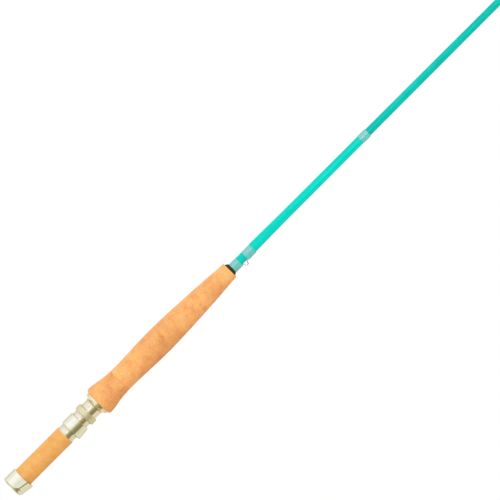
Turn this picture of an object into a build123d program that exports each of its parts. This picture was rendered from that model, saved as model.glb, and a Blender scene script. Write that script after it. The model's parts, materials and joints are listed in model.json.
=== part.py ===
"""A three-section glass-fibre fly rod, 6 ft 9 in long, put together.

Frame: millimetres, +X from the butt to the tip along the rod's axis, the reel and the line guides
on the -Z side, and the origin on the axis at the flat of the butt cap's end.
"""

import math
import os

from build123d import *

# Clearances
GLUE_LINE = 0.05          # all round a piece that is glued or wrapped in place
RUNNING = 0.08            # radial, where one metal piece turns or slides on another
FERRULE_FIT = 0.03        # radial, between a blank and the socket that slips over it

# Blank: one straight taper from butt to tip, in three sections
ROD_LENGTH = 2057.0
SECTIONS = ("butt", "mid", "tip")
BLANK_BUTT_D = 7.85
BLANK_TIP_D = 1.60
BLANK_WALL_BUTT = 0.90
BLANK_WALL_TIP = 0.35
FERRULE_OVERLAP = 50.0
SOCKET_WALL = 0.55
SOCKET_FLOOR_GAP = 4.0    # between the end of one section and the floor of its socket
SOCKET_SWELL = 8.0        # how far the socket's full thickness runs past the overlap
SOCKET_FAIRING = 40.0     # from the overlap to where the socket has faired into the taper
BLANK_SETBACK = 5.0       # from the butt cap's end to the end of the blank

# Reel seat: the spacer that the reel foot lies on, and the threaded barrel ahead of it
INSERT_D = 16.8
INSERT_BORE_D = 12.6
INSERT_SHOWING = 48.7     # from the cap's rim at its side to the trim ring
INSERT_RING_WIDTH = 0.8
INSERT_RING_STEP = 0.1    # how far the trim ring lies under the insert's surface
BARREL_D = 16.1
BARREL_LENGTH = 33.3
BARREL_CHAMFER = 0.4
ARBOR_LENGTH = 14.0
ARBOR_COUNT = 3

# Butt cap, with its fixed hood for one end of the reel foot
CAP_LENGTH = 12.8         # to the rim at its side
CAP_WALL = 1.6
CAP_CORNER = 0.6          # how far the end's dome stops short of the cap's side
CAP_CORNER_STEP = 0.15
CAP_END_DOME = 0.9
CAP_END_FLAT_R = 3.0
CAP_FLOOR = 3.0
CAP_HEEL_LENGTH = 4.8      # of the rounding where the hood runs out into the end
CAP_HEEL_MIDDLE = 0.33     # halfway round: share of that length, and of the cap's radius
CAP_HEEL_MIDDLE_DEPTH = 0.855
CAP_CREST = 0.8           # how much further the rim reaches along the top, and under the hood
CAP_LIP = 1.3
CAP_HOOD_RISE = 1.35      # of the hood's mouth over the cap's side
CAP_HOOD_INSET = 0.04     # of the hood's flat sides from the cap's round
CAP_HOOD_CORNER_R = 2.4   # between a flat side and the hood's curved bottom
CAP_HOOD_START_FLAT = 0.6  # depth of the flat side: where it starts, past the heel, and at the mouth
CAP_HOOD_HEEL_FLAT = 3.4
CAP_HOOD_MOUTH_FLAT = 5.1
CAP_POCKET_HEEL_WIDTH = 0.83  # share of the cap's radius
CAP_POCKET_MOUTH_WIDTH = 0.77
HOOD_WALL = 1.05

# Sliding hood, lock nut and the thrust ring in the nut's face
HOOD_PARKED = 5.5         # from the trim ring to the hood's mouth
HOOD_LENGTH = 11.1
HOOD_RING_WALL = 0.62
HOOD_MOUTH_RISE = 1.6
HOOD_HEEL_RISE = 0.6
HOOD_POCKET_LENGTH = 8.0
HOOD_BEVEL = 0.35
HOOD_SHOULDER = 36        # degrees under the side where the ring runs over into the hump
HOOD_POCKET_WIDTH = 0.74  # share of the ring's radius
HOOD_POCKET_RUN_OUT = 0.1  # depth of the pocket under the bore at its far end
HOOD_TO_NUT = 4.3
NUT_LENGTH = 5.7
NUT_WALL = 1.37
NUT_BEVEL = 0.7
NUT_RING_LENGTH = 1.2
NUT_RING_WALL = 0.62

# Collar and grip
COLLAR_LENGTH = 1.4
COLLAR_SKIRT = 1.4        # length of the collar that laps over the barrel
COLLAR_FLARE = 2.55       # of the collar's rim over the barrel
COLLAR_RIM = 0.4
COLLAR_EDGE = 0.15        # thickness of the skirt where it starts
GRIP_RING_WIDTH = 2.0
GRIP_RING_STEP = 0.3      # of the bright washer over the collar's rim
GRIP_RING_EDGE = 0.2
CORK_RING_COUNT = 12
CORK_RING_WIDTH = 12.6
GRIP_BEVEL_R = 11.6       # radius at the flare's rounded rear edge
GRIP_FLARE_R = 13.1
GRIP_NECK_R = 11.82
GRIP_WAIST_R = 10.57
GRIP_RISE_R = 11.08
GRIP_SWELL_R = 11.64
GRIP_SHOULDER_R = 10.64
GRIP_TAPER_R = 9.13
GRIP_FRONT_R = 7.5
GRIP_DRAWN_LENGTH = 151.2   # the length that the outline's stations are given for

# Winding check, hook keeper and thread wraps ahead of the grip
CHECK_LENGTH = 2.6
CHECK_STEP = 1.55         # of the check's rim under the grip's front edge
CHECK_RIM = 0.5           # straight length of its rim
CHECK_FRONT_WALL = 0.83
WRAP_THICKNESS = 0.47     # of thread and its finish over the butt section
REAR_WRAP_LENGTH = 7.5
KEEPER_GAP = 6.7
FRONT_WRAP_LENGTH = 8.8
KEEPER_COAT = 0.28
KEEPER_WIRE_D = 0.85
KEEPER_RISE = 3.78        # from the blank's surface to the outside of the arch
KEEPER_BEND_R = 0.6
KEEPER_INSET = 1.4        # of the arch from the wraps
KEEPER_LEAN = 1.1         # of each side of the arch
KEEPER_FOOT = 4.5
LABEL_LENGTH = 123.8
LABEL_COAT = 0.32
LABEL_COAT_HEEL = 0.74    # the finish is thicker where it runs up to the front wrap
LABEL_HEEL_LENGTH = 38.0
TRIM_WRAP_LENGTH = 8.5
TRIM_WRAP = 0.62
TRIM_WRAP_RAMP = 0.5

# Stripping guide: the first and largest line guide. Guides are spaced by a chart that scales with
# the rod, so their places are shares of its length, counted from the tip.
STRIPPER_SHARE = 0.611
STRIPPER_RING_R = 3.5
STRIPPER_RING_BODY = 1.15
STRIPPER_RING_LAND = 1.6
STRIPPER_RING_LENGTH = 3.0
STRIPPER_RING_CHAMFER = 0.25
STRIPPER_FRAME_BODY = 0.75
STRIPPER_FRAME_LENGTH = 1.8
STRIPPER_STANDOFF = 9.2   # from the blank's surface to the ring's centre
STRIPPER_WIRE_D = 1.25
STRIPPER_SPREAD = 13.0    # from the ring to the near end of each foot
STRIPPER_LEG_GAP = 0.75   # from the middle of the foot to each rear leg
STRIPPER_LEG_LAP = 2.5    # how far a leg runs along its foot
STRIPPER_FOOT = 11.0
STRIPPER_FOOT_BARE = 3.4
STRIPPER_FOOT_WIDTH = 2.8
STRIPPER_FOOT_THICKNESS = 0.7

# Snake guides, from the butt towards the tip
SNAKE_SHARES = (0.481, 0.373, 0.278, 0.194, 0.121, 0.055)
SNAKE_RISE_FIRST = 6.4    # from the blank's surface to the outside of the loop
SNAKE_RISE_LAST = 3.9
SNAKE_WIRE_FIRST_D = 0.95
SNAKE_WIRE_LAST_D = 0.65
SNAKE_STRETCH = 1.15      # half length of a loop over its rise
SNAKE_BEND = 1.5          # bend radius at each foot, in wire diameters
SNAKE_FOOT = 6.0
GUIDE_WRAP = 0.32
WRAP_PAST_FOOT = 2.0
FOOT_SHOWING = 0.4        # straight length of each foot that its wrap leaves bare
FERRULE_WRAP_SETBACK = 1.0
FERRULE_WRAP_LENGTH = 14.0
FERRULE_WRAP = 0.30

# Tip-top
TIP_TUBE_LENGTH = 9.0
TIP_TUBE_WALL = 0.30
TIP_TUBE_CHAMFER = 0.30
TIP_TUBE_TO_END = 4.0
TIP_LOOP_R = 2.1
TIP_LOOP_BODY = 0.85
TIP_LOOP_DROP = 1.9
TIP_LOOP_LAND = 0.5
TIP_LOOP_LENGTH = 0.9
TIP_LOOP_BEVEL = 0.25
TIP_BRACE_D = 0.6
TIP_BRACE_SETBACK = 1.0   # from the tube's ends to where a brace starts and bends away
TIP_WRAP_LENGTH = 6.0
TIP_WRAP = 0.25

# Stations along the rod, each worked out from the one before it
INSERT_RING_START = CAP_LENGTH + INSERT_SHOWING
BARREL_START = INSERT_RING_START + INSERT_RING_WIDTH
HOOD_START = INSERT_RING_START + HOOD_PARKED
HOOD_END = HOOD_START + HOOD_LENGTH
NUT_START = HOOD_END + HOOD_TO_NUT
NUT_END = NUT_START + NUT_LENGTH
BARREL_END = BARREL_START + BARREL_LENGTH
COLLAR_END = BARREL_END + COLLAR_LENGTH
GRIP_START = COLLAR_END + GRIP_RING_WIDTH
GRIP_LENGTH = CORK_RING_COUNT * CORK_RING_WIDTH
GRIP_END = GRIP_START + GRIP_LENGTH
REAR_WRAP_START = GRIP_END + CHECK_LENGTH
KEEPER_START = REAR_WRAP_START + REAR_WRAP_LENGTH
FRONT_WRAP_START = KEEPER_START + KEEPER_GAP
LABEL_START = FRONT_WRAP_START + FRONT_WRAP_LENGTH
TRIM_WRAP_START = LABEL_START + LABEL_LENGTH
STRIPPER_X = ROD_LENGTH * (1 - STRIPPER_SHARE)
TIP_TUBE_END = ROD_LENGTH - TIP_TUBE_TO_END
TIP_TUBE_START = TIP_TUBE_END - TIP_TUBE_LENGTH
BLANK_END = TIP_TUBE_END - TIP_TUBE_WALL - GLUE_LINE
FERRULE_COUNT = len(SECTIONS) - 1
SECTION_LENGTH = (BLANK_END - BLANK_SETBACK + FERRULE_COUNT * FERRULE_OVERLAP) / len(SECTIONS)
SECTION_STEP = SECTION_LENGTH - FERRULE_OVERLAP
CAP_R = INSERT_D / 2 + CAP_WALL
CAP_HOOD_SIDE = CAP_R - CAP_HOOD_INSET
CAP_HOOD_DEPTH = CAP_R + CAP_HOOD_RISE
INSERT_RING_R = INSERT_D / 2 - INSERT_RING_STEP
BARREL_R = BARREL_D / 2
BARREL_BORE_R = INSERT_BORE_D / 2
HOOD_BORE_R = max(INSERT_D / 2, BARREL_R) + RUNNING
HOOD_R = HOOD_BORE_R + HOOD_RING_WALL
NUT_BORE_R = BARREL_R + RUNNING
NUT_R = NUT_BORE_R + NUT_WALL
COLLAR_R = BARREL_R + COLLAR_FLARE
GRIP_RING_R = COLLAR_R + GRIP_RING_STEP
CHECK_R = GRIP_FRONT_R - CHECK_STEP


# Helpers ----------------------------------------------------------------------------------------

def blank_r(x):
    """Outer radius of the blank's taper at a station."""
    return (BLANK_BUTT_D + (BLANK_TIP_D - BLANK_BUTT_D) * x / ROD_LENGTH) / 2


def blank_wall(x):
    """Wall thickness of the blank at a station."""
    return BLANK_WALL_BUTT + (BLANK_WALL_TIP - BLANK_WALL_BUTT) * x / ROD_LENGTH


def turned(corners):
    """A solid turned about the rod's axis from (station, radius) corners."""
    outline = Wire.make_polygon([(x, 0, radius) for x, radius in corners])
    return revolve(Face(outline), axis=Axis.X)


def sleeve(start, end, radius, bore):
    """A plain tube about the rod's axis."""
    return turned([(start, bore), (start, radius), (end, radius), (end, bore)])


def blank_core(start, end):
    """The room that the tapered blank takes up in a piece that is fitted over it."""
    start_r = blank_r(start) + GLUE_LINE
    end_r = blank_r(end) + GLUE_LINE
    return turned([(start, 0), (start, start_r), (end, end_r), (end, 0)])


def coat(start, end, start_thickness, end_thickness):
    """A layer over the blank that follows its taper."""
    return turned([
        (start, blank_r(start) + GLUE_LINE),
        (start, blank_r(start) + start_thickness),
        (end, blank_r(end) + end_thickness),
        (end, blank_r(end) + GLUE_LINE),
    ])


def across(x):
    """A plane square to the rod's axis, with its own y axis along +Z."""
    return Plane(origin=(x, 0, 0), x_dir=(0, 1, 0), z_dir=(1, 0, 0))


def leaning_drum(start, start_r, start_depth, end, end_r, end_depth):
    """A round body under the axis, given by each end's radius and by how deep it reaches."""
    first = across(start) * Pos(0, start_r - start_depth) * Circle(start_r)
    last = across(end) * Pos(0, end_r - end_depth) * Circle(end_r)
    return loft([first, last], ruled=True)


def corner_turn(before, here, after):
    """The angle, in radians, by which a route turns at a corner."""
    return math.radians((here - before).get_angle(after - here))


def bent_wire(points, diameter, first_bend, last_bend):
    """A round wire along straight runs: its end bends are given, the others as large as fit."""
    corners = [Vector(*point) for point in points]
    radii = []
    for before, here, after in zip(corners, corners[1:], corners[2:]):
        shorter = min((here - before).length, (after - here).length)
        radii.append(0.45 * shorter / math.tan(corner_turn(before, here, after) / 2))
    radii[0] = min(radii[0], first_bend)
    radii[-1] = min(radii[-1], last_bend)
    path = FilletPolyline(*corners, radius=radii)
    section = Plane(origin=path @ 0, z_dir=path % 0) * Circle(diameter / 2)
    return sweep(section, path=path)


def foot_wrap(start, end, thickness, foot_section, foot_body):
    """Thread over a guide's foot and the blank: the smallest outline round both."""
    radius = blank_r((start + end) / 2)
    outline = Circle(radius + thickness) + offset(foot_section, thickness)
    hull = make_hull(outline.edges())
    wrap = extrude(across(start) * hull, amount=end - start)
    return wrap - blank_core(start - 1, end + 1) - foot_body


# Butt section -----------------------------------------------------------------------------------

def make_butt_blank():
    """The rear section: a plain tapered tube."""
    end = BLANK_SETBACK + SECTION_LENGTH
    return turned([
        (BLANK_SETBACK, blank_r(BLANK_SETBACK) - blank_wall(BLANK_SETBACK)),
        (BLANK_SETBACK, blank_r(BLANK_SETBACK)),
        (end, blank_r(end)),
        (end, blank_r(end) - blank_wall(end)),
    ])


def make_socketed_blank(index):
    """A section whose rear end is a socket that slips over the section behind it."""
    start = BLANK_SETBACK + index * SECTION_STEP
    overlap_end = start + FERRULE_OVERLAP
    swell_end = overlap_end + SOCKET_SWELL
    taper_start = overlap_end + SOCKET_FAIRING
    end = start + SECTION_LENGTH
    outer_step = FERRULE_FIT + SOCKET_WALL
    floor = overlap_end + SOCKET_FLOOR_GAP
    return turned([
        (start, blank_r(start) + FERRULE_FIT),
        (start, blank_r(start) + outer_step),
        (swell_end, blank_r(swell_end) + outer_step),
        (taper_start, blank_r(taper_start)),
        (end, blank_r(end)),
        (end, blank_r(end) - blank_wall(end)),
        (taper_start, blank_r(taper_start) - blank_wall(taper_start)),
        (floor, blank_r(floor) + FERRULE_FIT),
    ])


def make_ferrule_wrap(index):
    """The thread band that keeps a socket's mouth from splitting."""
    start = BLANK_SETBACK + index * SECTION_STEP + FERRULE_WRAP_SETBACK
    end = start + FERRULE_WRAP_LENGTH
    start_r = blank_r(start) + FERRULE_FIT + SOCKET_WALL
    end_r = blank_r(end) + FERRULE_FIT + SOCKET_WALL
    ramp = 2 * FERRULE_WRAP
    return turned([
        (start, start_r + GLUE_LINE),
        (start, start_r + FERRULE_WRAP / 2),
        (start + ramp, start_r + FERRULE_WRAP),
        (end - ramp, end_r + FERRULE_WRAP),
        (end, end_r + FERRULE_WRAP / 2),
        (end, end_r + GLUE_LINE),
    ])


def cap_hood_section(x, flat, depth):
    """A slice of the fixed hood: a round top, flat sides, small corners and a curved bottom."""
    side = CAP_HOOD_SIDE
    corner = CAP_HOOD_CORNER_R
    inner = side - corner
    turn = math.pi / 2 - 2 * math.atan((depth - flat - corner) / inner)
    middle = turn / 2
    far_y = inner + corner * math.cos(middle)
    far_z = -flat - corner * math.sin(middle)
    end_y = inner + corner * math.cos(turn)
    end_z = -flat - corner * math.sin(turn)
    return Face(Wire([
        ThreePointArc((x, side, 0), (x, 0, side), (x, -side, 0)),
        Line((x, -side, 0), (x, -side, -flat)),
        ThreePointArc((x, -side, -flat), (x, -far_y, far_z), (x, -end_y, end_z)),
        ThreePointArc((x, -end_y, end_z), (x, 0, -depth), (x, end_y, end_z)),
        ThreePointArc((x, end_y, end_z), (x, far_y, far_z), (x, side, -flat)),
        Line((x, side, -flat), (x, side, 0)),
    ]))


def side_cut(curve, rest):
    """What a cutter takes away that passes straight across the cap along an outline."""
    outline = Face(Wire([curve] + rest.edges()))
    return extrude(outline, amount=2 * CAP_R, dir=(0, 1, 0), both=True)


def make_butt_cap():
    """A turned cup with a domed end, and a hood on its lower side that opens towards the tip."""
    corner_r = CAP_R - CAP_CORNER
    shoulder = CAP_END_DOME + CAP_CORNER
    mouth = CAP_LENGTH + CAP_LIP
    dome = ThreePointArc(
        (0, 0, CAP_END_FLAT_R),
        (0.36 * CAP_END_DOME, 0, 0.68 * CAP_R),
        (CAP_END_DOME, 0, corner_r),
    )
    rest = Polyline(
        (CAP_END_DOME, 0, corner_r),
        (shoulder, 0, CAP_R - CAP_CORNER_STEP),
        (shoulder + CAP_CORNER, 0, CAP_R),
        (mouth, 0, CAP_R),
        (mouth, 0, 0),
        (0, 0, 0),
        (0, 0, CAP_END_FLAT_R),
    )
    cup = revolve(Face(Wire([dome] + rest.edges())), axis=Axis.X)
    hood = loft([
        cap_hood_section(shoulder + CAP_CORNER, CAP_HOOD_START_FLAT, CAP_HOOD_SIDE),
        cap_hood_section(CAP_HEEL_LENGTH, CAP_HOOD_HEEL_FLAT, CAP_R),
        cap_hood_section(mouth, CAP_HOOD_MOUTH_FLAT, CAP_HOOD_DEPTH),
    ], ruled=True)
    past = 2 * CAP_R
    nose = ThreePointArc(
        (0, 0, -CAP_END_FLAT_R),
        (CAP_HEEL_MIDDLE * CAP_HEEL_LENGTH, 0, -CAP_HEEL_MIDDLE_DEPTH * CAP_R),
        (CAP_HEEL_LENGTH, 0, -CAP_R),
    )
    under = Polyline(
        (CAP_HEEL_LENGTH, 0, -CAP_R), (CAP_HEEL_LENGTH, 0, -past), (-past, 0, -past),
        (-past, 0, -CAP_END_FLAT_R), (0, 0, -CAP_END_FLAT_R))
    heel = side_cut(nose, under)
    crest = CAP_LENGTH + CAP_CREST
    rim = ThreePointArc((crest, 0, CAP_R), (CAP_LENGTH, 0, 0), (mouth, 0, -CAP_HOOD_DEPTH))
    ahead = Polyline(
        (mouth, 0, -CAP_HOOD_DEPTH), (mouth, 0, -past), (past, 0, -past),
        (past, 0, past), (crest, 0, past), (crest, 0, CAP_R))
    pocket = leaning_drum(
        CAP_HEEL_LENGTH, CAP_POCKET_HEEL_WIDTH * CAP_R, CAP_R - HOOD_WALL,
        mouth + 0.01, CAP_POCKET_MOUTH_WIDTH * CAP_R, CAP_HOOD_DEPTH - HOOD_WALL)
    bore = turned([
        (CAP_FLOOR, 0), (CAP_FLOOR, INSERT_D / 2 + GLUE_LINE),
        (mouth + 1, INSERT_D / 2 + GLUE_LINE), (mouth + 1, 0),
    ])
    return cup + hood - heel - side_cut(rim, ahead) - pocket - bore


def make_seat_insert():
    """The bored cork spacer that the reel foot lies on, glued into the butt cap."""
    start = CAP_FLOOR + GLUE_LINE
    return sleeve(start, INSERT_RING_START, INSERT_D / 2, INSERT_BORE_D / 2)


def make_seat_arbors():
    """Bushes that fill the room between the blank and the seat's bore, evenly spaced."""
    first = BLANK_SETBACK + ARBOR_LENGTH / 2
    last = BARREL_END - ARBOR_LENGTH
    arbors = []
    for number in range(ARBOR_COUNT):
        start = first + (last - first) * number / (ARBOR_COUNT - 1)
        end = start + ARBOR_LENGTH
        bush = turned([
            (start, blank_r(start) + GLUE_LINE), (start, BARREL_BORE_R - GLUE_LINE),
            (end, BARREL_BORE_R - GLUE_LINE), (end, blank_r(end) + GLUE_LINE),
        ])
        arbors.append(bush)
    return arbors


def make_insert_ring():
    """The pale trim ring between the spacer and the barrel."""
    return sleeve(INSERT_RING_START, BARREL_START, INSERT_RING_R, BARREL_BORE_R)


def make_seat_barrel():
    """The metal tube that carries the thread, chamfered where the hood slides on."""
    return turned([
        (BARREL_START, BARREL_BORE_R), (BARREL_START, BARREL_R - BARREL_CHAMFER),
        (BARREL_START + BARREL_CHAMFER, BARREL_R), (BARREL_END, BARREL_R), (BARREL_END, BARREL_BORE_R),
    ])


def make_barrel_collar():
    """The collar that closes the seat against the grip: a hollow flare up to a thin rim."""
    foot_r = BARREL_R + COLLAR_EDGE
    start = BARREL_END - COLLAR_SKIRT
    lip = COLLAR_END - COLLAR_RIM
    flare = ThreePointArc(
        (start, 0, foot_r),
        (start + 0.68 * (lip - start), 0, foot_r + 0.36 * (COLLAR_R - foot_r)),
        (lip, 0, COLLAR_R),
    )
    bore = BARREL_R + GLUE_LINE
    rest = Polyline(
        (lip, 0, COLLAR_R), (COLLAR_END, 0, COLLAR_R), (COLLAR_END, 0, BARREL_BORE_R),
        (BARREL_END, 0, BARREL_BORE_R), (BARREL_END, 0, bore), (start, 0, bore), (start, 0, foot_r))
    return revolve(Face(Wire([flare] + rest.edges())), axis=Axis.X)


def make_grip_ring():
    """The bright washer between the collar and the cork, with its outer edges broken."""
    bore = blank_r(COLLAR_END) + GLUE_LINE
    edge_r = GRIP_RING_R - GRIP_RING_EDGE
    return turned([
        (COLLAR_END, bore), (COLLAR_END, edge_r), (COLLAR_END + GRIP_RING_EDGE, GRIP_RING_R),
        (GRIP_START - GRIP_RING_EDGE, GRIP_RING_R), (GRIP_START, edge_r), (GRIP_START, bore),
    ])


def make_nut_ring():
    """The thrust ring that the lock nut turns on and pushes the hood through."""
    ring_end = NUT_START + NUT_RING_LENGTH
    return sleeve(NUT_START, ring_end, NUT_BORE_R + NUT_RING_WALL, NUT_BORE_R)


def make_lock_nut():
    """A plain bevelled nut with a recess for the thrust ring in its face."""
    seat = NUT_BORE_R + NUT_RING_WALL + RUNNING
    recess = NUT_START + NUT_RING_LENGTH + RUNNING
    return turned([
        (NUT_START, seat), (NUT_START, NUT_R - NUT_BEVEL / 2),
        (NUT_START + NUT_BEVEL, NUT_R), (NUT_END - NUT_BEVEL, NUT_R),
        (NUT_END, NUT_R - NUT_BEVEL), (NUT_END, NUT_BORE_R), (recess, NUT_BORE_R), (recess, seat),
    ])


def hood_section(x, top_r, depth):
    """A slice of the sliding hood: a round top that runs over two slopes into a deeper bottom."""
    slope = math.radians(HOOD_SHOULDER)
    rise = math.sin(slope)
    bottom_r = top_r - (depth - top_r) * rise / (1 - rise)
    high_y = top_r * math.cos(slope)
    high_z = -top_r * rise
    low_y = bottom_r * math.cos(slope)
    low_z = bottom_r - depth - bottom_r * rise
    return Face(Wire([
        ThreePointArc((x, high_y, high_z), (x, 0, top_r), (x, -high_y, high_z)),
        Line((x, -high_y, high_z), (x, -low_y, low_z)),
        ThreePointArc((x, -low_y, low_z), (x, 0, -depth), (x, low_y, low_z)),
        Line((x, low_y, low_z), (x, high_y, high_z)),
    ]))


def make_sliding_hood():
    """A loose ring with a pocket on its lower side that opens towards the butt."""
    front_edge = HOOD_BEVEL / 2
    mouth_depth = HOOD_R + HOOD_MOUTH_RISE
    heel_depth = HOOD_R + HOOD_HEEL_RISE
    body = loft([
        hood_section(HOOD_START, HOOD_R - front_edge, mouth_depth - front_edge),
        hood_section(HOOD_START + HOOD_BEVEL, HOOD_R, mouth_depth),
        hood_section(HOOD_END - HOOD_BEVEL, HOOD_R, heel_depth),
        hood_section(HOOD_END, HOOD_R - HOOD_BEVEL, heel_depth - HOOD_BEVEL),
    ], ruled=True)
    pocket_end = HOOD_START + HOOD_POCKET_LENGTH
    pocket_r = HOOD_POCKET_WIDTH * HOOD_R
    pocket = leaning_drum(
        HOOD_START - 0.01, pocket_r, mouth_depth - HOOD_WALL,
        pocket_end, pocket_r, HOOD_BORE_R + HOOD_POCKET_RUN_OUT)
    bore = turned([
        (HOOD_START - 1, 0), (HOOD_START - 1, HOOD_BORE_R),
        (HOOD_END + 1, HOOD_BORE_R), (HOOD_END + 1, 0),
    ])
    return body - pocket - bore


def grip_outline():
    """The hand-shaped line of the grip, as stations and radii from its rear end."""
    return [
        (3.2, GRIP_FLARE_R),
        (12.5, GRIP_NECK_R),
        (28.5, GRIP_WAIST_R),
        (47.0, GRIP_RISE_R),
        (67.0, GRIP_SWELL_R),
        (102.0, GRIP_SHOULDER_R),
        (128.0, GRIP_TAPER_R),
        (GRIP_DRAWN_LENGTH, GRIP_FRONT_R),
    ]


def make_cork_rings():
    """The grip is one shaped stick of glued cork rings, so it is shaped whole and then parted."""
    stretch = GRIP_LENGTH / GRIP_DRAWN_LENGTH
    stations = [(GRIP_START + x * stretch, 0, radius) for x, radius in grip_outline()]
    crest = stations[0]
    rear_edge = (GRIP_START, 0, GRIP_BEVEL_R)
    bevel = ThreePointArc(
        rear_edge,
        (GRIP_START + 0.9 * stretch, 0, GRIP_BEVEL_R + 0.78 * (GRIP_FLARE_R - GRIP_BEVEL_R)),
        crest,
    )
    swell = Spline(*stations, tangents=[(1, 0, 0), (1, 0, -0.06)])
    ends = Polyline(
        (GRIP_END, 0, GRIP_FRONT_R), (GRIP_END, 0, 0), (GRIP_START, 0, 0), rear_edge)
    stick = revolve(Face(Wire([bevel, swell] + ends.edges())), axis=Axis.X)
    stick -= blank_core(GRIP_START - 1, GRIP_END + 1)
    rings = []
    for number in range(CORK_RING_COUNT):
        start = GRIP_START + number * CORK_RING_WIDTH
        saw = turned([
            (start, 0), (start, 2 * GRIP_FLARE_R),
            (start + CORK_RING_WIDTH, 2 * GRIP_FLARE_R), (start + CORK_RING_WIDTH, 0),
        ])
        rings.append(stick & saw)
    return rings


def make_winding_check():
    """A small coned ring that hides the bore of the grip."""
    body = turned([
        (GRIP_END, 0), (GRIP_END, CHECK_R), (GRIP_END + CHECK_RIM, CHECK_R),
        (REAR_WRAP_START, blank_r(REAR_WRAP_START) + CHECK_FRONT_WALL), (REAR_WRAP_START, 0),
    ])
    return body - blank_core(GRIP_END - 1, REAR_WRAP_START + 1)


def keeper_foot_z():
    """Height of the keeper's feet, which lie on the blank."""
    return -(blank_r(KEEPER_START) + GLUE_LINE + KEEPER_WIRE_D / 2)


def keeper_wire(diameter):
    """The keeper's arch, with a foot under the wrap at each end."""
    foot_z = keeper_foot_z()
    crown_z = -(blank_r(KEEPER_START) + KEEPER_RISE - KEEPER_WIRE_D / 2)
    rear = KEEPER_START + KEEPER_INSET
    front = FRONT_WRAP_START - KEEPER_INSET
    points = [
        (KEEPER_START - KEEPER_FOOT, 0, foot_z),
        (rear, 0, foot_z),
        (rear + KEEPER_LEAN, 0, crown_z),
        (front - KEEPER_LEAN, 0, crown_z),
        (front, 0, foot_z),
        (FRONT_WRAP_START + KEEPER_FOOT, 0, foot_z),
    ]
    return bent_wire(points, diameter, KEEPER_BEND_R, KEEPER_BEND_R)


def make_keeper_wrap(start, end):
    """The thread over one of the keeper's feet."""
    foot = Pos(0, keeper_foot_z()) * Circle(KEEPER_WIRE_D / 2)
    room = Pos(0, keeper_foot_z()) * Circle(KEEPER_WIRE_D / 2 + GLUE_LINE)
    near = max(start, KEEPER_START - KEEPER_FOOT - GLUE_LINE)
    far = min(end, FRONT_WRAP_START + KEEPER_FOOT + GLUE_LINE)
    tool = extrude(across(near) * room, amount=far - near)
    return foot_wrap(start, end, WRAP_THICKNESS, foot, tool)


def make_keeper_coat():
    """The clear finish over the bare blank between the two wraps, run round the keeper's wire."""
    layer = coat(KEEPER_START, FRONT_WRAP_START, KEEPER_COAT, KEEPER_COAT)
    return layer - keeper_wire(KEEPER_WIRE_D + 2 * GLUE_LINE)


def make_label_coat():
    """The clear finish over the bare label area, heaped up where it meets the front wrap."""
    heel = LABEL_START + LABEL_HEEL_LENGTH
    body = turned([
        (LABEL_START, 0),
        (LABEL_START, blank_r(LABEL_START) + LABEL_COAT_HEEL),
        (LABEL_START + LABEL_HEEL_LENGTH / 3, blank_r(LABEL_START) + 0.72 * LABEL_COAT_HEEL),
        (heel, blank_r(heel) + LABEL_COAT),
        (TRIM_WRAP_START, blank_r(TRIM_WRAP_START) + LABEL_COAT),
        (TRIM_WRAP_START, 0),
    ])
    return body - blank_core(LABEL_START - 1, TRIM_WRAP_START + 1)


def make_trim_wrap():
    """The thread band that closes the label area."""
    end = TRIM_WRAP_START + TRIM_WRAP_LENGTH
    return turned([
        (TRIM_WRAP_START, blank_r(TRIM_WRAP_START) + GLUE_LINE),
        (TRIM_WRAP_START, blank_r(TRIM_WRAP_START) + TRIM_WRAP),
        (end - TRIM_WRAP_RAMP, blank_r(end) + TRIM_WRAP),
        (end, blank_r(end) + TRIM_WRAP / 2),
        (end, blank_r(end) + GLUE_LINE),
    ])


# Line guides ------------------------------------------------------------------------------------

def stripper_foot_z():
    """Height of the middle of the stripping guide's feet, which lie on the blank."""
    return -(blank_r(STRIPPER_X - STRIPPER_SPREAD) + GLUE_LINE + STRIPPER_FOOT_THICKNESS / 2)


def stripper_centre_z():
    """Height of the centre of the stripping guide's ring."""
    return -(blank_r(STRIPPER_X) + STRIPPER_STANDOFF)


def make_stripping_ring():
    """The hard ring that the line runs through: a short land between two rounded lips."""
    half = STRIPPER_RING_LENGTH / 2
    land = STRIPPER_RING_LAND / 2
    outer = STRIPPER_RING_R + STRIPPER_RING_BODY
    lip_r = STRIPPER_RING_R + 0.35 * STRIPPER_RING_BODY
    crest = STRIPPER_RING_R + 0.75 * STRIPPER_RING_BODY
    right = ThreePointArc((land, 0, STRIPPER_RING_R), (0.92 * half, 0, lip_r), (half, 0, crest))
    left = ThreePointArc((-half, 0, crest), (-0.92 * half, 0, lip_r), (-land, 0, STRIPPER_RING_R))
    edge = half - STRIPPER_RING_CHAMFER
    outside = Polyline((half, 0, crest), (edge, 0, outer), (-edge, 0, outer), (-half, 0, crest))
    inside = Line((-land, 0, STRIPPER_RING_R), (land, 0, STRIPPER_RING_R))
    ring = revolve(Face(Wire([right] + outside.edges() + [left, inside])), axis=Axis.X)
    return Pos(STRIPPER_X, 0, stripper_centre_z()) * ring


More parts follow.
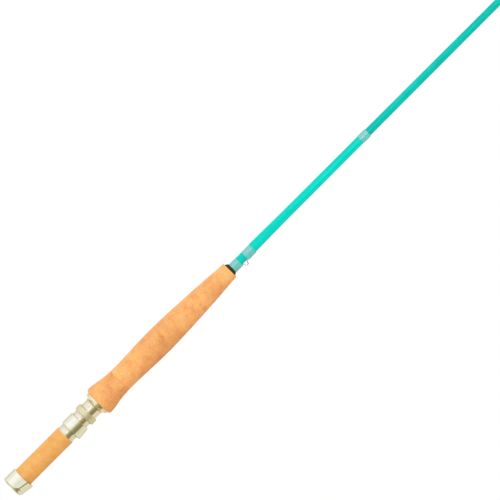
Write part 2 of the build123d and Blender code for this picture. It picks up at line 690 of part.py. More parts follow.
def make_stripping_frame():
    """Hoop, two splayed legs on the butt side, one leg on the tip side, and a flat foot each way."""
    inner = STRIPPER_RING_R + STRIPPER_RING_BODY + FERRULE_FIT
    outer = inner + STRIPPER_FRAME_BODY
    middle = (inner + outer) / 2
    half = STRIPPER_FRAME_LENGTH / 2
    centre_z = stripper_centre_z()
    foot_z = stripper_foot_z()
    hoop = Pos(STRIPPER_X, 0, centre_z) * sleeve(-half, half, outer, inner)
    rear_foot_end = STRIPPER_X - STRIPPER_SPREAD
    front_foot_start = STRIPPER_X + STRIPPER_SPREAD
    leg_r = STRIPPER_WIRE_D / 2
    bend = 2 * STRIPPER_WIRE_D
    frame = hoop
    for side in (1, -1):
        leg = bent_wire(
            [
                (rear_foot_end - STRIPPER_LEG_LAP, side * STRIPPER_LEG_GAP, foot_z),
                (rear_foot_end, side * STRIPPER_LEG_GAP, foot_z),
                (STRIPPER_X - half + leg_r, side * middle, centre_z),
                (STRIPPER_X + half, side * middle, centre_z),
            ],
            STRIPPER_WIRE_D, bend, bend / 2)
        frame += leg
    top_z = centre_z + middle
    frame += bent_wire(
        [
            (STRIPPER_X - half, 0, top_z),
            (STRIPPER_X + half + leg_r, 0, top_z),
            (front_foot_start, 0, foot_z),
            (front_foot_start + STRIPPER_LEG_LAP, 0, foot_z),
        ],
        STRIPPER_WIRE_D, bend / 2, bend)
    reach = 2 * STRIPPER_RING_R
    frame -= Pos(STRIPPER_X, 0, centre_z) * turned([
        (-reach, 0), (-reach, inner), (reach, inner), (reach, 0),
    ])
    for start in (rear_foot_end - STRIPPER_FOOT, front_foot_start):
        plate = Pos(start + STRIPPER_FOOT / 2, 0, foot_z) * Box(
            STRIPPER_FOOT, STRIPPER_FOOT_WIDTH, STRIPPER_FOOT_THICKNESS)
        frame += plate
    return frame - blank_core(
        rear_foot_end - 2 * STRIPPER_FOOT, front_foot_start + 2 * STRIPPER_FOOT)


def make_stripping_wraps():
    """One thread wrap over each foot of the stripping guide."""
    foot_z = stripper_foot_z()
    plate = Pos(0, foot_z) * Rectangle(STRIPPER_FOOT_WIDTH, STRIPPER_FOOT_THICKNESS)
    room = Pos(0, foot_z) * Rectangle(
        STRIPPER_FOOT_WIDTH + 2 * GLUE_LINE, STRIPPER_FOOT_THICKNESS + 2 * GLUE_LINE)
    rear_end = STRIPPER_X - STRIPPER_SPREAD - STRIPPER_FOOT_BARE
    front_start = STRIPPER_X + STRIPPER_SPREAD + STRIPPER_FOOT_BARE
    length = STRIPPER_FOOT - STRIPPER_FOOT_BARE
    rear_start = rear_end - length - WRAP_PAST_FOOT
    front_end = front_start + length + WRAP_PAST_FOOT
    rear_room = extrude(across(rear_end - length - GLUE_LINE) * room, amount=2 * length)
    front_room = extrude(across(front_start - length) * room, amount=2 * length + GLUE_LINE)
    return [
        foot_wrap(rear_start, rear_end, GUIDE_WRAP, plate, rear_room),
        foot_wrap(front_start, front_end, GUIDE_WRAP, plate, front_room),
    ]


def snake_share(index):
    """How far along the run of snake guides one of them is, from 0 to 1."""
    return index / (len(SNAKE_SHARES) - 1)


def snake_wire_d(index):
    """Diameter of a snake guide's wire."""
    return SNAKE_WIRE_FIRST_D + (SNAKE_WIRE_LAST_D - SNAKE_WIRE_FIRST_D) * snake_share(index)


def snake_points(index):
    """Corners of a snake guide's wire: foot, one full turn below the blank, foot."""
    x = ROD_LENGTH * (1 - SNAKE_SHARES[index])
    wire_d = snake_wire_d(index)
    rise = SNAKE_RISE_FIRST + (SNAKE_RISE_LAST - SNAKE_RISE_FIRST) * snake_share(index)
    half = SNAKE_STRETCH * rise
    foot_z = blank_r(x - half - SNAKE_FOOT) + GLUE_LINE + wire_d / 2
    low_z = blank_r(x) + rise - wire_d / 2
    middle_z = (foot_z + low_z) / 2
    turn_r = (low_z - foot_z) / 2
    return [
        (x - half - SNAKE_FOOT, 0, -foot_z),
        (x - half, 0, -foot_z),
        (x - 0.50 * half, turn_r, -middle_z),
        (x - 0.16 * half, 0.52 * turn_r, -low_z),
        (x + 0.16 * half, -0.52 * turn_r, -low_z),
        (x + 0.50 * half, -turn_r, -middle_z),
        (x + half, 0, -foot_z),
        (x + half + SNAKE_FOOT, 0, -foot_z),
    ]


def make_snake_guide(index):
    """A snake guide: one length of wire, a foot at each end."""
    wire_d = snake_wire_d(index)
    bend = SNAKE_BEND * wire_d
    return bent_wire(snake_points(index), wire_d, bend, bend)


def make_snake_wraps(index):
    """One thread wrap over each foot, stopping short of where the wire bends away."""
    points = [Vector(*point) for point in snake_points(index)]
    wire_d = snake_wire_d(index)
    turn = corner_turn(points[0], points[1], points[2])
    bare = SNAKE_BEND * wire_d * math.tan(turn / 2) + FOOT_SHOWING
    foot = Pos(0, points[0].Z) * Circle(wire_d / 2)
    room = Pos(0, points[0].Z) * Circle(wire_d / 2 + GLUE_LINE)
    rear_tool = extrude(across(points[0].X - GLUE_LINE) * room, amount=SNAKE_FOOT)
    front_tool = extrude(across(points[-2].X) * room, amount=SNAKE_FOOT + GLUE_LINE)
    rear = foot_wrap(
        points[0].X - WRAP_PAST_FOOT, points[1].X - bare, GUIDE_WRAP, foot, rear_tool)
    front = foot_wrap(
        points[-2].X + bare, points[-1].X + WRAP_PAST_FOOT, GUIDE_WRAP, foot, front_tool)
    return [rear, front]


# Tip-top ----------------------------------------------------------------------------------------

def tip_tube_r():
    """Outer radius of the tip-top's tube."""
    return blank_r(TIP_TUBE_START) + GLUE_LINE + TIP_TUBE_WALL


def make_tip_tube():
    """The closed tube that slips over the tip of the blank."""
    chamfer_start = TIP_TUBE_END - TIP_TUBE_CHAMFER
    tube = turned([
        (TIP_TUBE_START, 0), (TIP_TUBE_START, tip_tube_r()), (chamfer_start, tip_tube_r()),
        (TIP_TUBE_END, tip_tube_r() - TIP_TUBE_CHAMFER), (TIP_TUBE_END, 0),
    ])
    return tube - blank_core(TIP_TUBE_START - 1, TIP_TUBE_END - TIP_TUBE_WALL)


def make_tip_loop():
    """The ring that the line leaves by, on two braces that lie along the tube."""
    outer = TIP_LOOP_R + TIP_LOOP_BODY
    half = TIP_LOOP_LENGTH / 2
    land = TIP_LOOP_LAND / 2
    crest = TIP_LOOP_R + TIP_LOOP_BODY / 2
    inner = TIP_LOOP_R + TIP_LOOP_BEVEL
    ring = turned([
        (-land, TIP_LOOP_R), (-half, inner), (-half, crest), (-land, outer),
        (land, outer), (half, crest), (half, inner), (land, TIP_LOOP_R),
    ])
    centre = Pos(ROD_LENGTH - half, 0, -TIP_LOOP_DROP)
    loop = centre * ring
    side_y = tip_tube_r() + GLUE_LINE + TIP_BRACE_D / 2
    for side in (1, -1):
        loop += bent_wire(
            [
                (TIP_TUBE_START + TIP_BRACE_SETBACK, side * side_y, 0),
                (TIP_TUBE_END - 1.5 * TIP_BRACE_SETBACK, side * side_y, 0),
                (ROD_LENGTH - 1.2 * half, side * 0.94 * crest, -0.66 * TIP_LOOP_DROP),
            ],
            TIP_BRACE_D, 2 * TIP_BRACE_D, 2 * TIP_BRACE_D)
    reach = 2 * TIP_LOOP_R
    return loop - centre * turned([
        (-reach, 0), (-reach, TIP_LOOP_R), (reach, TIP_LOOP_R), (reach, 0),
    ])


def make_tip_wrap():
    """The thread that fairs the tube into the blank."""
    start = TIP_TUBE_START - TIP_WRAP_LENGTH
    return coat(start, TIP_TUBE_START, TIP_WRAP, TIP_WRAP)


# The whole rod ----------------------------------------------------------------------------------

def make_rod():
    """Every node's name with its solid, or its list of solids."""
    wrap_end = REAR_WRAP_START + REAR_WRAP_LENGTH
    nodes = {
        "butt_cap": make_butt_cap(),
        "seat_insert": make_seat_insert(),
        "insert_ring": make_insert_ring(),
        "seat_barrel": make_seat_barrel(),
        "seat_arbors": make_seat_arbors(),
        "barrel_collar": make_barrel_collar(),
        "grip_ring": make_grip_ring(),
        "nut_ring": make_nut_ring(),
        "lock_nut": make_lock_nut(),
        "sliding_hood": make_sliding_hood(),
        "winding_check": make_winding_check(),
        "hook_keeper": keeper_wire(KEEPER_WIRE_D),
        "keeper_wrap_rear": make_keeper_wrap(REAR_WRAP_START, wrap_end),
        "keeper_wrap_front": make_keeper_wrap(FRONT_WRAP_START, LABEL_START),
        "keeper_coat": make_keeper_coat(),
        "label_coat": make_label_coat(),
        "trim_wrap": make_trim_wrap(),
        "butt_blank": make_butt_blank(),
        "mid_blank": make_socketed_blank(1),
        "mid_ferrule_wrap": make_ferrule_wrap(1),
        "stripping_guide_frame": make_stripping_frame(),
        "stripping_guide_ring": make_stripping_ring(),
        "stripping_guide_wraps": make_stripping_wraps(),
        "tip_blank": make_socketed_blank(2),
        "tip_ferrule_wrap": make_ferrule_wrap(2),
        "tip_top_tube": make_tip_tube(),
        "tip_top_loop": make_tip_loop(),
        "tip_wrap": make_tip_wrap(),
    }
    for number, ring in enumerate(make_cork_rings(), start=1):
        nodes[f"cork_ring_{number:02d}"] = ring
    for index in range(len(SNAKE_SHARES)):
        nodes[f"snake_guide_{index + 1}"] = make_snake_guide(index)
        nodes[f"snake_wraps_{index + 1}"] = make_snake_wraps(index)
    return nodes


os.makedirs("parts", exist_ok=True)
for name, shape in make_rod().items():
    solids = shape if isinstance(shape, list) else shape.solids()
    export_step(Compound(solids) if len(solids) > 1 else solids[0], f"parts/{name}.step")
    print(f"{name}: {len(solids)} solid(s)")
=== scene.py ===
# %% [markdown]
# # A fly rod, finished in Blender
# The rod's solids come from a CAD model, in metres, with +X from the butt to the tip and the reel
# side down the -Z side. Blender doesn't move them. It gives each one its surface, and stands more
# finely made pieces in for three kinds: the threaded barrel, the twelve cork rings and the thread
# wraps. Those are turned or wound, with fine relief that a mesh shows better than a solid can.

# %% Load the model as a fixed frame
import bpy
import json
import math
from mathutils import Matrix, Vector
from mathutils.bvhtree import BVHTree


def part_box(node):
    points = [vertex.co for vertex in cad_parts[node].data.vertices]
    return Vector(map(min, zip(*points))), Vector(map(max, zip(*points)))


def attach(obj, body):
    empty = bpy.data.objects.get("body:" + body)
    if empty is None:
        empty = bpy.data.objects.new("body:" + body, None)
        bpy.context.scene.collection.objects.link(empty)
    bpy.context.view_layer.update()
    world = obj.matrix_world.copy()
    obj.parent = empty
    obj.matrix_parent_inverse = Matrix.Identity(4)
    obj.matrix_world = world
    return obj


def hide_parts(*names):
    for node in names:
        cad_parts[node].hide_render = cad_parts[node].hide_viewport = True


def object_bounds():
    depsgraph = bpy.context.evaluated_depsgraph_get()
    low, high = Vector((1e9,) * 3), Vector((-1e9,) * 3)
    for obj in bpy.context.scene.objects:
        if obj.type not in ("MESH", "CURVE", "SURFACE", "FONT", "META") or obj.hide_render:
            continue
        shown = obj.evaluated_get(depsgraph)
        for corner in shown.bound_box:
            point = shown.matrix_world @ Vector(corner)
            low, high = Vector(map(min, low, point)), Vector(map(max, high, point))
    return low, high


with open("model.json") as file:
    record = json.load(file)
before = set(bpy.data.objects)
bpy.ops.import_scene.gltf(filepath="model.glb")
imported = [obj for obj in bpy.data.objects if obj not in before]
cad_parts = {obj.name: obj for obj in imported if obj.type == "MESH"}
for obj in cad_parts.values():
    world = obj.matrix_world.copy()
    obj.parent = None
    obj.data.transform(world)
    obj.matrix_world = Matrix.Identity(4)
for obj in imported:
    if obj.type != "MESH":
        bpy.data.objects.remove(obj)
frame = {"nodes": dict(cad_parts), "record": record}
nodes = frame["nodes"]
CAD_BOX = [list(corner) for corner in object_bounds()]
print(len(nodes), "solids,", round(CAD_BOX[1][0] - CAD_BOX[0][0], 3), "m long")

# %% [markdown]
# ## The camera
# The rod is 2 m long and 8 mm thick, so the view takes in the reel seat, the grip and most of the
# butt section, as a catalogue does. The rod rises across the frame at 45 degrees with its reel side
# to the lower right. A long lens keeps the two ends at the same scale. The camera's axes are worked
# out from that rise, which is simpler than three angles.

# %% Camera on the handle, rod rising to the right
VIEW_WIDTH = 0.405
SENSOR_MM, LENS_MM = 36.0, 450.0
RISE = math.radians(45.0)
target = Vector((0.2733, 0.0, 0.00014))

camera_data = bpy.data.cameras.new("handle_camera")
camera_data.lens = LENS_MM
camera_data.sensor_width = SENSOR_MM
camera_data.clip_end = 100.0
camera = bpy.data.objects.new("handle_camera", camera_data)
bpy.context.scene.collection.objects.link(camera)
right = Vector((math.cos(RISE), 0.0, -math.sin(RISE)))
up = Vector((math.sin(RISE), 0.0, math.cos(RISE)))
back = Vector((0.0, -1.0, 0.0))
distance = VIEW_WIDTH * LENS_MM / SENSOR_MM
turned = Matrix((right, up, back)).transposed().to_4x4()
camera.matrix_world = Matrix.Translation(target + back * distance) @ turned
bpy.context.scene.camera = camera
print("camera", round(distance, 2), "m from the rod, looking along +Y")

# %% [markdown]
# ## Node trees in code
# Every finish, light and rule below is a tree of nodes. Each could be made by hand in the node
# editor. In code the same few moves come back again and again: make a node, set what it does, and
# join its sockets. Short helpers for those moves keep the rest of the file readable as a recipe.

# %% Helpers for node trees
def add(tree, kind, **values):
    """Adds a node and sets its properties, then its sockets by name or by number."""
    node = tree.nodes.new(kind)
    for name, value in values.items():
        if name != "sockets":
            setattr(node, name, value)
    for name, value in values.get("sockets", {}).items():
        socket = node.inputs[name]
        if isinstance(value, bpy.types.NodeSocket):
            tree.links.new(value, socket)
        else:
            socket.default_value = value
    return node


def math_node(tree, operation, *terms, clamp=False):
    """One step of arithmetic on sockets or numbers."""
    sockets = dict(enumerate(terms))
    return add(tree, "ShaderNodeMath", operation=operation, use_clamp=clamp, sockets=sockets).outputs[0]


def map_range(tree, value, low, high, to_low=0.0, to_high=1.0, curve="LINEAR"):
    """Maps a value from one range to another, and holds it at their ends."""
    sockets = {"Value": value, "From Min": low, "From Max": high, "To Min": to_low, "To Max": to_high}
    return add(tree, "ShaderNodeMapRange", interpolation_type=curve, sockets=sockets).outputs[0]


def parts_of(tree, vector):
    """The X, Y and Z of a vector."""
    return add(tree, "ShaderNodeSeparateXYZ", sockets={0: vector}).outputs


def ramp(tree, factor, stops, interpolation="LINEAR"):
    """A colour ramp from (position, colour) stops; colours may be one grey number."""
    node = add(tree, "ShaderNodeValToRGB", sockets={"Fac": factor})
    band = node.color_ramp
    band.interpolation = interpolation
    while len(band.elements) < len(stops):
        band.elements.new(1.0)
    for element, (position, colour) in zip(band.elements, stops):
        element.position = position
        grey = not isinstance(colour, (tuple, list))
        element.color = (colour, colour, colour, 1.0) if grey else (*colour, 1.0)
    return node.outputs["Color"]


def mix_colours(tree, share, first, second, blend="MIX"):
    """Blends two colours, each a socket or an (r, g, b, a) value."""
    sockets = {"Factor": share, "A": first, "B": second}
    return add(tree, "ShaderNodeMix", data_type="RGBA", blend_type=blend, sockets=sockets).outputs["Result"]


def mix_shaders(tree, share, first, second):
    """The first shader where the share is 0, and the second where it is 1."""
    return add(tree, "ShaderNodeMixShader", sockets={0: share, 1: first, 2: second}).outputs[0]


print("node helpers ready")

# %% [markdown]
# ## The white room
# Bright turned metal is a mirror: it shows the room more than itself. On a round bar each line
# along its side reflects one direction of the room, so a room that changes with the angle round the
# rod draws long clean lines down every metal piece. It could be built from walls and panels. Here
# the world itself is the room, written as colours by angle: 0 is in front of the rod, -90 above and
# 90 below it. Towards the butt the front of the room is darker, which shades the collar's flare.
# Surfaces that aren't mirrors meet an even light instead, so their colours come out as written.

# %% The room, by the angle round the rod and by the direction along it
bpy.context.scene.view_settings.view_transform = "Standard"
world = bpy.data.worlds.new("white_room")
bpy.context.scene.world = world
world.use_nodes = True
tree = world.node_tree
tree.nodes.clear()
ROOM = [
    (-180, (0.93, 0.92, 0.85)), (-152, (0.84, 0.83, 0.74)), (-138, (0.64, 0.63, 0.53)),
    (-124, (0.66, 0.66, 0.56)), (-111, (0.86, 0.85, 0.75)), (-88, (0.88, 0.88, 0.80)),
    (-62, (1.00, 1.00, 0.97)), (-35, (1.00, 1.00, 0.99)), (-15, (0.93, 0.94, 0.87)),
    (6, (0.80, 0.81, 0.69)), (45, (0.72, 0.73, 0.58)), (85, (0.80, 0.77, 0.60)),
    (115, (0.76, 0.72, 0.54)), (136, (0.66, 0.62, 0.46)), (152, (0.84, 0.82, 0.70)),
    (180, (0.93, 0.92, 0.85)),
]
TOWARDS_BUTT = [
    (0.62, (1.0, 1.0, 1.0)), (0.80, (0.52, 0.47, 0.35)), (0.90, (0.50, 0.45, 0.31)),
    (0.99, (0.92, 0.86, 0.66)),
]
EVEN_WHITE, EVEN_LIGHT = (1.0, 0.995, 0.985, 1.0), 0.86
WHITE = (1.0, 1.0, 1.0, 1.0)
direction = add(tree, "ShaderNodeTexCoord").outputs["Generated"]
opposite = {0: direction, "Scale": -1.0}
facing = add(tree, "ShaderNodeVectorMath", operation="SCALE", sockets=opposite).outputs[0]
sides = parts_of(tree, facing)
share_round = map_range(tree, math_node(tree, "ARCTAN2", sides["Z"], sides["Y"]), -math.pi, math.pi)
around = ramp(tree, share_round, [((degrees + 180) / 360, colour) for degrees, colour in ROOM])
along = ramp(tree, map_range(tree, sides["X"], -1.0, 1.0), TOWARDS_BUTT, "EASE")
in_front = map_range(tree, sides["Y"], -0.55, -0.20)
mirrored = mix_colours(tree, in_front, around, along, "MULTIPLY")
light = add(tree, "ShaderNodeLightPath").outputs
mirror_view, even_view, plain_view = (
    add(tree, "ShaderNodeBackground", sockets={"Color": colour, "Strength": strength}).outputs[0]
    for colour, strength in ((mirrored, 1.0), (EVEN_WHITE, EVEN_LIGHT), (WHITE, 1.0)))
room = mix_shaders(tree, light["Is Glossy Ray"], even_view, mirror_view)
seen = mix_shaders(tree, light["Is Camera Ray"], room, plain_view)
add(tree, "ShaderNodeOutputWorld", sockets={"Surface": seen})
print("room of", len(ROOM), "bands")

# %% [markdown]
# ## The dark flag
# To show silverware, a studio hangs a dark cloth, a flag, low in front of it. Its reflection is the
# crisp dark line that says polished and round. It could be one more band of the room, but a far
# room is the same for every piece. A real card 25 cm away bends its line with each shape. Only
# mirrors see it. Its top fades out, its lower edge is hard, and its top is cut lower beside the cap,
# so that the flat side of the cap's hood stays clean.

# %% Helpers for surfaces on Object coordinates
def place_in(tree):
    """Where a point is in its object's own frame, which is the rod's for every piece."""
    return add(tree, "ShaderNodeTexCoord").outputs["Object"]


def empty_material(name):
    """A material with nothing in its node tree."""
    material = bpy.data.materials.new(name)
    material.use_nodes = True
    material.node_tree.nodes.clear()
    return material, material.node_tree


def flat_sheet(name, corners):
    """A flat object of one square face."""
    mesh = bpy.data.meshes.new(name)
    mesh.from_pydata(corners, [], [(0, 1, 2, 3)])
    sheet = bpy.data.objects.new(name, mesh)
    bpy.context.scene.collection.objects.link(sheet)
    return sheet


print("surface helpers ready")

# %% A card that only mirrors see, and the dark flag
CARD_AWAY = 0.25


def mirror_card(name, middle_x, length, below, half_width, colour, strength, cover_rule):
    """A card along the rod, at an angle below the line of view; cover_rule says how dense it is."""
    card = flat_sheet(name, [(-0.5, -0.5, 0), (0.5, -0.5, 0), (0.5, 0.5, 0), (-0.5, 0.5, 0)])
    towards = Vector((0.0, -math.cos(below), -math.sin(below)))
    card.location = Vector((middle_x, 0.0, 0.0)) + towards * CARD_AWAY
    card.rotation_euler = (math.pi / 2 + below, 0.0, 0.0)
    card.scale = (length, 2 * half_width, 1.0)
    card.visible_camera = card.visible_diffuse = card.visible_shadow = card.visible_transmission = False
    material, tree = empty_material(name)
    card.data.materials.append(material)
    cover = cover_rule(tree, parts_of(tree, place_in(tree)))
    clear = add(tree, "ShaderNodeBsdfTransparent").outputs[0]
    face = add(tree, "ShaderNodeEmission", sockets={"Color": (*colour, 1.0), "Strength": strength}).outputs[0]
    add(tree, "ShaderNodeOutputMaterial", sockets={"Surface": mix_shaders(tree, cover, clear, face)})
    print(name, "is", round(math.degrees(below)), "degrees down from the line of view")


def flag_cover(tree, spot):
    """Soft at the top and hard at the bottom; the top is cut lower beside the cap."""
    from_top = math_node(tree, "SUBTRACT", 0.5, spot["Y"])
    cut_corner = map_range(tree, spot["X"], -0.112, -0.100, 0.16, 0.0)
    from_soft_edge = math_node(tree, "SUBTRACT", from_top, cut_corner)
    soft_edge = ramp(tree, from_soft_edge, [(0.085, 0.0), (0.150, 0.55), (0.32, 0.80), (0.50, 1.0)])
    hard_edge = ramp(tree, from_top, [(0.72, 1.0), (0.84, 0.0)])
    return math_node(tree, "MULTIPLY", soft_edge, hard_edge)


mirror_card("dark_flag", 0.15, 1.2, math.radians(38), 0.22, (0.245, 0.213, 0.080), 1.0, flag_cover)

# %% [markdown]
# ## The gleam along the varnish
# Varnished thread shows one thin bright line along its upper side. In a studio that is the
# reflection of a narrow lit panel. A small lamp would do too, but it would also light the cork. The
# panel here is a second card. It starts at the check, so that the reel seat doesn't mirror it.

# %% A narrow bright card above the blank
GLEAM_START, GLEAM_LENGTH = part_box("winding_check")[1][0], 0.6


def gleam_cover(tree, spot):
    """Full along the middle of the card, fading to its long edges."""
    return ramp(tree, math_node(tree, "ABSOLUTE", spot["Y"]), [(0.20, 1.0), (0.50, 0.0)])


mirror_card("gleam_card", GLEAM_START + GLEAM_LENGTH / 2, GLEAM_LENGTH, math.radians(-18), 0.05,
            (0.93, 1.0, 1.0), 5.5, gleam_cover)

# %% [markdown]
# ## Lamps
# The even world alone would leave the cork looking flat. Three lamps give it a lighter upper side
# and a soft shadow under it. Area lamps would fade along 2 m of rod, and suns don't. A wide angle
# makes each sun as soft as a window. Mirrors don't see them.

# %% Three broad soft suns
LAMPS = [
    ("window_light", (-0.25, -0.85, 0.68), 0.62, 60),
    ("low_front_light", (0.10, -1.00, 0.06), 0.26, 50),
    ("fill_light", (0.35, 0.80, 0.65), 0.25, 70),
]
for name, toward, power, spread in LAMPS:
    lamp_data = bpy.data.lights.new(name, "SUN")
    lamp_data.energy = power
    lamp_data.angle = math.radians(spread)
    lamp = bpy.data.objects.new(name, lamp_data)
    lamp.rotation_mode = "QUATERNION"
    lamp.rotation_quaternion = Vector(toward).to_track_quat("Z", "Y")
    lamp.visible_glossy = False
    bpy.context.scene.collection.objects.link(lamp)
    print(name, power)

# %% [markdown]
# ## The floor
# The rod lies over a plain white table. It could be lit until it burns out, but that would bleach
# the cork. So it glows a little to the camera alone, which makes it paper white, and the rest of its
# brightness is real light, so the rod's soft shadow shows. Mirrors look through it to the room.

# %% White table top
FLOOR_Z = CAD_BOX[0][2] - 0.0004
FLOOR_REACH = 14.0
TABLE_GLOW = 0.09
floor = flat_sheet("table_top", [
    (1.0 + x * FLOOR_REACH, y * FLOOR_REACH, FLOOR_Z) for x, y in ((-1, -1), (1, -1), (1, 1), (-1, 1))])
floor.visible_glossy = False

material, tree = empty_material("white_table")
floor.data.materials.append(material)
light = add(tree, "ShaderNodeLightPath").outputs
level = math_node(tree, "MULTIPLY", light["Is Camera Ray"], TABLE_GLOW)
matte = add(tree, "ShaderNodeBsdfDiffuse", sockets={"Color": (0.90, 0.90, 0.89, 1.0)}).outputs[0]
glow = add(tree, "ShaderNodeEmission", sockets={"Color": WHITE, "Strength": level}).outputs[0]
both = add(tree, "ShaderNodeAddShader", sockets={0: matte, 1: glow}).outputs[0]
add(tree, "ShaderNodeOutputMaterial", sockets={"Surface": both})
print("table at z =", round(FLOOR_Z, 4))

# %% [markdown]
# ## Shared effects
# Some effects turn up in more than one finish: cork grain on the grip and on the spacer, lathe marks
# on all the turned metal, and the streaks of glass cloth in the blank and under its clear finish.
# Each could be copied into every material that needs it. As a node group it is built once and each
# material sets its sizes. A group puts out only masks, heights and counts, and no shaders.

# %% Helpers for node groups and finishes
NUMBER = "NodeSocketFloat"


def effect(name, inputs, outputs):
    """A shader node group with named number inputs; returns its tree and its two ends."""
    tree = bpy.data.node_groups.new(name, "ShaderNodeTree")
    for label, value in inputs.items():
        tree.interface.new_socket(name=label, in_out="INPUT", socket_type=NUMBER).default_value = value
    for label in outputs:
        tree.interface.new_socket(name=label, in_out="OUTPUT", socket_type=NUMBER)
    return tree, tree.nodes.new("NodeGroupInput").outputs, tree.nodes.new("NodeGroupOutput").inputs


def noise(tree, scale, detail, roughness=0.5, place=None, number=None):
    """Smooth random values by place, by a number along a line, or by place with a number as its seed."""
    sockets = {"Scale": scale, "Detail": detail, "Roughness": roughness}
    if place is not None:
        sockets["Vector"] = place
    if number is not None:
        sockets["W"] = number
    dimensions = "3D" if number is None else "1D" if place is None else "4D"
    return add(tree, "ShaderNodeTexNoise", noise_dimensions=dimensions, sockets=sockets).outputs[0]


def finish(name, **values):
    """A material with one Principled shader; plain numbers and colours go on its own sockets."""
    material = bpy.data.materials.new(name)
    material.use_nodes = True
    shader = material.node_tree.nodes["Principled BSDF"]
    for label, value in values.items():
        socket = shader.inputs[label.replace("_", " ")]
        socket.default_value = (*value, 1.0) if isinstance(value, tuple) else value
    return material, material.node_tree, shader


def use(tree, group, **values):
    """Places a shared effect in a material."""
    node = add(tree, "ShaderNodeGroup", node_tree=group)
    for label, value in values.items():
        node.inputs[label.replace("_", " ")].default_value = value
    return node.outputs


def drive(tree, shader, label, mask, stops):
    """Lets a mask choose a value or a colour of the shader."""
    tree.links.new(ramp(tree, mask, stops), shader.inputs[label])


def set_bump(tree, shader, height, depth, socket="Normal"):
    """Raises a surface by a height field, depth in metres."""
    bump = add(tree, "ShaderNodeBump", sockets={"Height": height, "Distance": depth, "Strength": 1.0})
    tree.links.new(bump.outputs["Normal"], shader.inputs[socket])


print("finish helpers ready")

# %% [markdown]
# ## Cork grain
# Cork has soft patches, fine grain and dark pores, and every ring was cut from another piece of
# bark. One pattern along the whole grip would run on through the joints and give it away. So the
# group counts the rings along the rod, and uses the count as the seed of its noise.

# %% Cork grain: soft patches, fine grain and dark pits, new in every ring
RING_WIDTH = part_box("cork_ring_02")[0][0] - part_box("cork_ring_01")[0][0]
GRIP_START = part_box("cork_ring_01")[0][0]
PIT_STEEPNESS = 14.0
END_FACE = 1e-5   # starts the count a hair early, so that the first ring's end face is its own


def pits_in(tree, place, ring, scale, level):
    """1 in the middle of each pit, falling steeply to 0 at its rim."""
    above = math_node(tree, "SUBTRACT", noise(tree, scale, 1.0, place=place, number=ring), level)
    return math_node(tree, "MULTIPLY", above, PIT_STEEPNESS, clamp=True)


tree, given, result = effect(
    "cork_grain", {"Patch": 120.0, "Grain": 900.0, "Pit": 330.0, "Pit Level": 0.66},
    ["Patches", "Grain", "Pits", "Ring"])
place = place_in(tree)
from_first = math_node(tree, "SUBTRACT", parts_of(tree, place)["X"], GRIP_START - END_FACE)
ring = math_node(tree, "FLOOR", math_node(tree, "DIVIDE", from_first, RING_WIDTH))
tree.links.new(noise(tree, given["Patch"], 3.0, 0.6, place, ring), result["Patches"])
tree.links.new(noise(tree, given["Grain"], 2.0, 0.7, place, ring), result["Grain"])
tree.links.new(pits_in(tree, place, ring, given["Pit"], given["Pit Level"]), result["Pits"])
tree.links.new(ring, result["Ring"])
cork_grain = tree
print("cork ring width", round(RING_WIDTH * 1000, 2), "mm")

# %% [markdown]
# ## Lathe marks and smudges
# A tool leaves fine rings round a turned piece, and hands leave smudges on it. A painted texture
# would need an unwrapped surface. Noise read along X alone is the same all the way round a piece,
# and that is a ring. Noise read in all three directions makes the smudges.

# %% Lathe marks: rings round the rod, and faint smudges from handling
tree, given, result = effect("lathe_marks", {"Mark": 9000.0, "Smudge": 260.0}, ["Marks", "Smudges"])
place = place_in(tree)
tree.links.new(noise(tree, given["Mark"], 2.0, 0.6, number=parts_of(tree, place)["X"]), result["Marks"])
tree.links.new(noise(tree, given["Smudge"], 4.0, 0.62, place), result["Smudges"])
lathe_marks = tree
print("lathe marks ready")

# %% [markdown]
# ## Cloth streaks
# Glass cloth rolled into a tube shows as long faint streaks. Stripes from a wave would repeat. Noise
# doesn't, and here it is drawn out to be 50 times longer along the rod than across it.

# %% Cloth streaks: noise stretched along the rod
tree, given, result = effect("cloth_streaks", {"Along": 14.0, "Across": 700.0}, ["Streaks"])
stretch = {"X": given["Along"], "Y": given["Across"], "Z": given["Across"]}
both = {0: place_in(tree), 1: add(tree, "ShaderNodeCombineXYZ", sockets=stretch).outputs[0]}
stretched = add(tree, "ShaderNodeVectorMath", operation="MULTIPLY", sockets=both).outputs[0]
tree.links.new(noise(tree, 1.0, 3.0, 0.6, stretched), result["Streaks"])
cloth_streaks = tree
print("cloth streaks ready")

# %% [markdown]
# ## Champagne metal
# The reel seat is turned aluminium with a pale champagne coat. Its pieces are polished to different
# degrees: the cap and hood are bright, the barrel is brighter, the collar and washer are warmer, and
# the nut is satin. One flat metal for all would look like plastic film. Lathe rings show on the cap,
# the hood and the nut, and smudges from handling change the roughness of all of them.

# %% Four metals from one recipe
FINISHES = {}


def turned_metal(name, mark, smudge, roughness, colours, colour_from="Smudges", groove=0.0, metallic=1.0):
    """Turned metal: the spacing of its marks, and the stops that its smudges and marks choose from."""
    material, tree, shader = finish(name, Metallic=metallic)
    worn = use(tree, lathe_marks, Mark=mark, Smudge=smudge)
    drive(tree, shader, "Roughness", worn["Smudges"], roughness)
    drive(tree, shader, "Base Color", worn[colour_from], colours)
    if groove:
        set_bump(tree, shader, worn["Marks"], groove)
    return material


